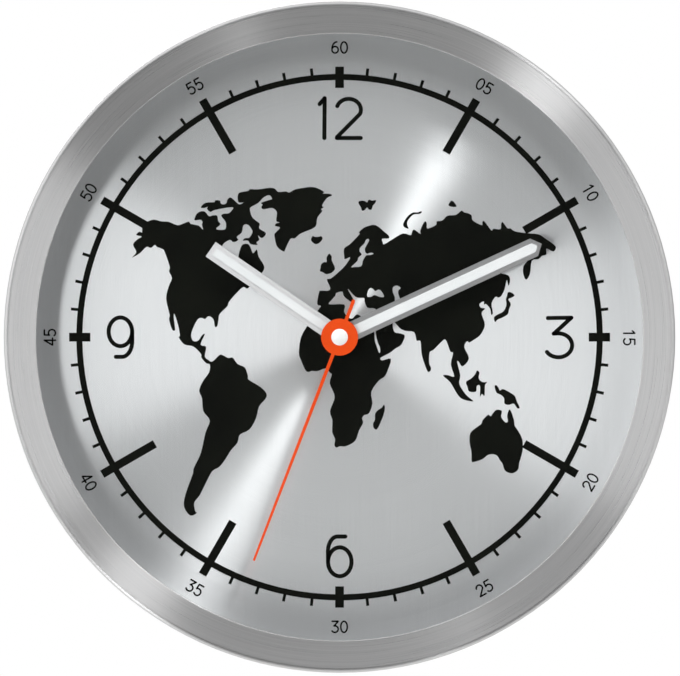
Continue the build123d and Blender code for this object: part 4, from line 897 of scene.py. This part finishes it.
# Hanger: a zinc plated steel plate stamped with a keyhole, held flush to the cover by two countersunk
# rivets. It is stamped from rolled strip, so its plating shows faint lines across.
strip_scale = (40.0, 40.0, 3000.0)
hanger_steel, tree, shader, place = new_material("zinc_plated_strip")
strip_lines = noise_node(tree, vector_node(tree, "MULTIPLY", place, strip_scale), scale=1.0, detail=2.0)
spangle = noise_node(tree, place, scale=180.0, detail=3.0)
strip_tone = math_node(tree, "MULTIPLY", math_node(tree, "ADD", strip_lines, spangle), 0.5)
strip_share = spread_noise(tree, strip_tone, middle_start=0.35, middle_end=0.65)
lined_metal(tree, shader, strip_share, strip_lines, dark=(0.46, 0.47, 0.48), light=(0.66, 0.67, 0.68),
            roughness=(0.44, 0.28), depth=0.02 * mm, strength=0.25)
dress(hanger_steel, "hanger_plate", "hanger_rivets")

# Battery: one AA cell, a drawn steel can in a plain film sleeve that is shrunk over its shoulders.
# It goes in last, from behind, between the two sprung contacts.
cell_low, cell_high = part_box("battery_cell")
cell_middle = (cell_low + cell_high) / 2
cell_profile = np.array([
    (-25.25, 0.0), (-25.25, 4.4), (-25.0, 4.7), (-25.0, 5.9), (-25.15, 6.2), (-25.1, 6.6), (-24.9, 7.0),
    (-24.5, 7.25), (0.0, 7.25), (23.6, 7.25), (24.0, 7.1), (24.2, 6.7), (24.2, 6.2), (24.0, 6.0),
    (24.0, 3.4), (24.1, 3.0), (24.4, 2.75), (25.0, 2.75), (25.2, 2.6), (25.25, 2.3), (25.25, 0.0)])


def cell_can(steps=72):
    """Profile of place and radius, in millimetres, carried round the cell's axis."""
    angle = np.linspace(0.0, 2 * np.pi, steps, endpoint=False)[None, :]
    along = cell_profile[:, :1] + 0 * angle
    radius = cell_profile[:, 1:]
    points = np.stack((cell_middle.x + along * mm, cell_middle.y + radius * np.cos(angle) * mm,
                       cell_middle.z + radius * np.sin(angle) * mm), axis=2)
    return points.reshape(-1, 3).tolist(), grid_faces(len(cell_profile), steps).tolist()


band_start = 11.0 * mm
bare_radius = 6.4 * mm
sleeve_dark = (0.015, 0.017, 0.020)
band_copper = (0.60, 0.33, 0.15)
can_steel = (0.62, 0.62, 0.63)
band_metal = 0.9
sleeve_smooth = 0.22
sleeve_rough = 0.34
cell_sleeve, tree, shader, place = new_material("cell_sleeve")
cell_place = vector_node(tree, "SUBTRACT", place, tuple(cell_middle))
cell_reach = vector_node(tree, "LENGTH", vector_node(tree, "MULTIPLY", cell_place, (0.0, 1.0, 1.0)))
bare_end = math_node(tree, "LESS_THAN", cell_reach, bare_radius)
band = math_node(tree, "GREATER_THAN", parted(tree, cell_place)[0], band_start)
film_grain = noise_node(tree, place, scale=700.0, detail=2.0)
film_colour = blend_colours(tree, band, sleeve_dark, band_copper)
cell_colour = blend_colours(tree, bare_end, film_colour, can_steel)
cell_metal = math_node(tree, "MAXIMUM", bare_end, math_node(tree, "MULTIPLY", band, band_metal))
cell_finish = spread_noise(tree, film_grain, sleeve_smooth, sleeve_rough)
set_surface(tree, shader, cell_colour, cell_finish, cell_metal)
raise_grain(tree, shader, film_grain, depth=0.02 * mm, strength=0.2)
cell = put_piece("aa_cell", *cell_can(), cell_sleeve, "case", "cell_can")
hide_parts("battery_cell")

# Studio: a pale painted floor well below the clock and soft white light all round, with a dark gap round
# the camera so that the glass has nothing bright to mirror. Two lamps draw the streaks on the dial, six
# masked ones draw the sweeps on the rim, and a soft box stands behind.
scene = bpy.context.scene
scene.view_settings.view_transform = "Standard"
world = bpy.data.worlds.new("studio")
scene.world = world
world.use_nodes = True
sky = world.node_tree
seen = sky.nodes.new("ShaderNodeLightPath")
looking = parted(sky, sky.nodes.new("ShaderNodeTexCoord").outputs["Generated"])
backdrop = sky.nodes["Background"]
gap_grey = 0.015
front_grey = 1.2
gap_start = -0.95
gap_end = -0.80
side_white = 0.55
side_start = -0.75
side_end = -0.45
window_reach = 1.2
far_from_window = 0.6
near_window = 1.3
back_start = -0.1
back_end = 0.4
back_share = 0.4
front_light = carried(sky, looking[1], gap_start, gap_end, gap_grey, front_grey)
side_light = carried(sky, looking[1], side_start, side_end, 0.0, side_white)
to_window = math_node(sky, "SUBTRACT", looking[2], looking[0])
window_share = carried(sky, to_window, -window_reach, window_reach, far_from_window, near_window)
behind_share = carried(sky, looking[1], back_start, back_end, 1.0, back_share)
room_shade = math_node(sky, "MULTIPLY", window_share, behind_share)
room_light = math_node(sky, "MULTIPLY", math_node(sky, "ADD", front_light, side_light), room_shade)
room_seen = math_node(sky, "MAXIMUM", room_light, seen.outputs["Is Camera Ray"])
sky.links.new(combined(sky, room_seen, room_seen, room_seen), backdrop.inputs["Color"])
clock_middle = Vector((0.0, -0.03, axis_height))


def lamp(name, azimuth, off_axis, distance, width, height, power):
    """Rectangular lamp aimed at the clock: azimuth anticlockwise from the right, angle off the dial's axis,
    width towards the axis and height round it."""
    around = np.radians(azimuth)
    off = np.radians(off_axis)
    away = Vector((np.sin(off) * np.cos(around), -np.cos(off), np.sin(off) * np.sin(around)))
    outward = Vector((np.cos(off) * np.cos(around), np.sin(off), np.cos(off) * np.sin(around)))
    light = bpy.data.lights.new(name, "AREA")
    light.shape = "RECTANGLE"
    light.size = width
    light.size_y = height
    light.energy = power
    box = bpy.data.objects.new(name, light)
    turn = Matrix((outward, away.cross(outward), away)).transposed()
    box.matrix_world = Matrix.Translation(clock_middle + away * distance) @ turn.to_4x4()
    scene.collection.objects.link(box)
    return box


def mask(box, state, *names):
    """Makes a lamp light some pieces alone, or all but these, as flags do in a studio."""
    receivers = bpy.data.collections.new(box.name + "_receivers")
    for name in names:
        receivers.objects.link(nodes[name])
    for entry in receivers.collection_objects:
        entry.light_linking.link_state = state
    box.light_linking.receiver_collection = receivers


dial_lamps = (
    lamp("left_strip", azimuth=174.0, off_axis=32.0, distance=3.0, width=0.3, height=1.8, power=20.0),
    lamp("streak_lamp", azimuth=60.0, off_axis=65.0, distance=2.5, width=0.5, height=0.32, power=20.0),
)
for box in dial_lamps:
    mask(box, "EXCLUDE", "case_rim", "lens_glass")


def rim_lamp(side, azimuth, height, power, off_axis=38.0, distance=1.2, width=0.24):
    """Lamp for the rim alone. The rim's face leans inwards, so a lamp lights the side across from it."""
    box = lamp("rim_lamp_" + side, azimuth, off_axis, distance, width, height, power)
    mask(box, "INCLUDE", "case_rim")


rim_lamp("left", azimuth=185.0, height=1.98, power=8.9, off_axis=27.0, distance=3.0, width=0.26)
rim_lamp("right", azimuth=0.0, height=1.73, power=13.2, off_axis=27.0, distance=3.0, width=0.26)
rim_lamp("low", azimuth=230.5, height=0.168, power=1.48)
rim_lamp("high", azimuth=50.3, height=0.168, power=1.05)
rim_lamp("bottom", azimuth=288.0, height=0.05, power=0.26)
rim_lamp("top", azimuth=114.0, height=0.05, power=0.16)
lamp("back_softbox", azimuth=120.0, off_axis=150.0, distance=1.6, width=0.8, height=0.8, power=12.0)

floor_height = -1.3
floor_half = 8.0
floor_front = -1.5
floor_corners = [(-floor_half, floor_front, floor_height), (floor_half, floor_front, floor_height),
                 (floor_half, floor_half, floor_height), (-floor_half, floor_half, floor_height)]
floor_mesh = bpy.data.meshes.new("floor")
floor_mesh.from_pydata(floor_corners, [], [(0, 1, 2, 3)])
floor_paint = grained("floor_paint", dark=(0.86, 0.86, 0.85), light=(0.90, 0.90, 0.89), rough=0.6,
                      fine=300.0, coarse=2.0)
floor_mesh.materials.append(floor_paint)
floor = bpy.data.objects.new("floor", floor_mesh)
scene.collection.objects.link(floor)

# Camera: straight on and far away, so that the clock shows almost without perspective.
# Its frame is the photograph's, with the middle of the dial at the same place in it.
picture_width = 680
picture_height = 676
metres_per_pixel = 0.00044676
dial_pixel = (339.55, 337.15)
camera_distance = 14.0
case_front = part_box("case_rim")[0].y
camera_data = bpy.data.cameras.new("camera")
camera_data.sensor_fit = "HORIZONTAL"
camera_data.sensor_width = 36.0
camera_data.lens = camera_data.sensor_width * camera_distance / (picture_width * metres_per_pixel)
camera_data.clip_end = 100.0
camera = bpy.data.objects.new("camera", camera_data)
camera.location = ((picture_width / 2 - dial_pixel[0]) * metres_per_pixel, case_front - camera_distance,
                   axis_height + (dial_pixel[1] - picture_height / 2) * metres_per_pixel)
camera.rotation_euler = (np.pi / 2, 0.0, 0.0)
scene.collection.objects.link(camera)
scene.camera = camera
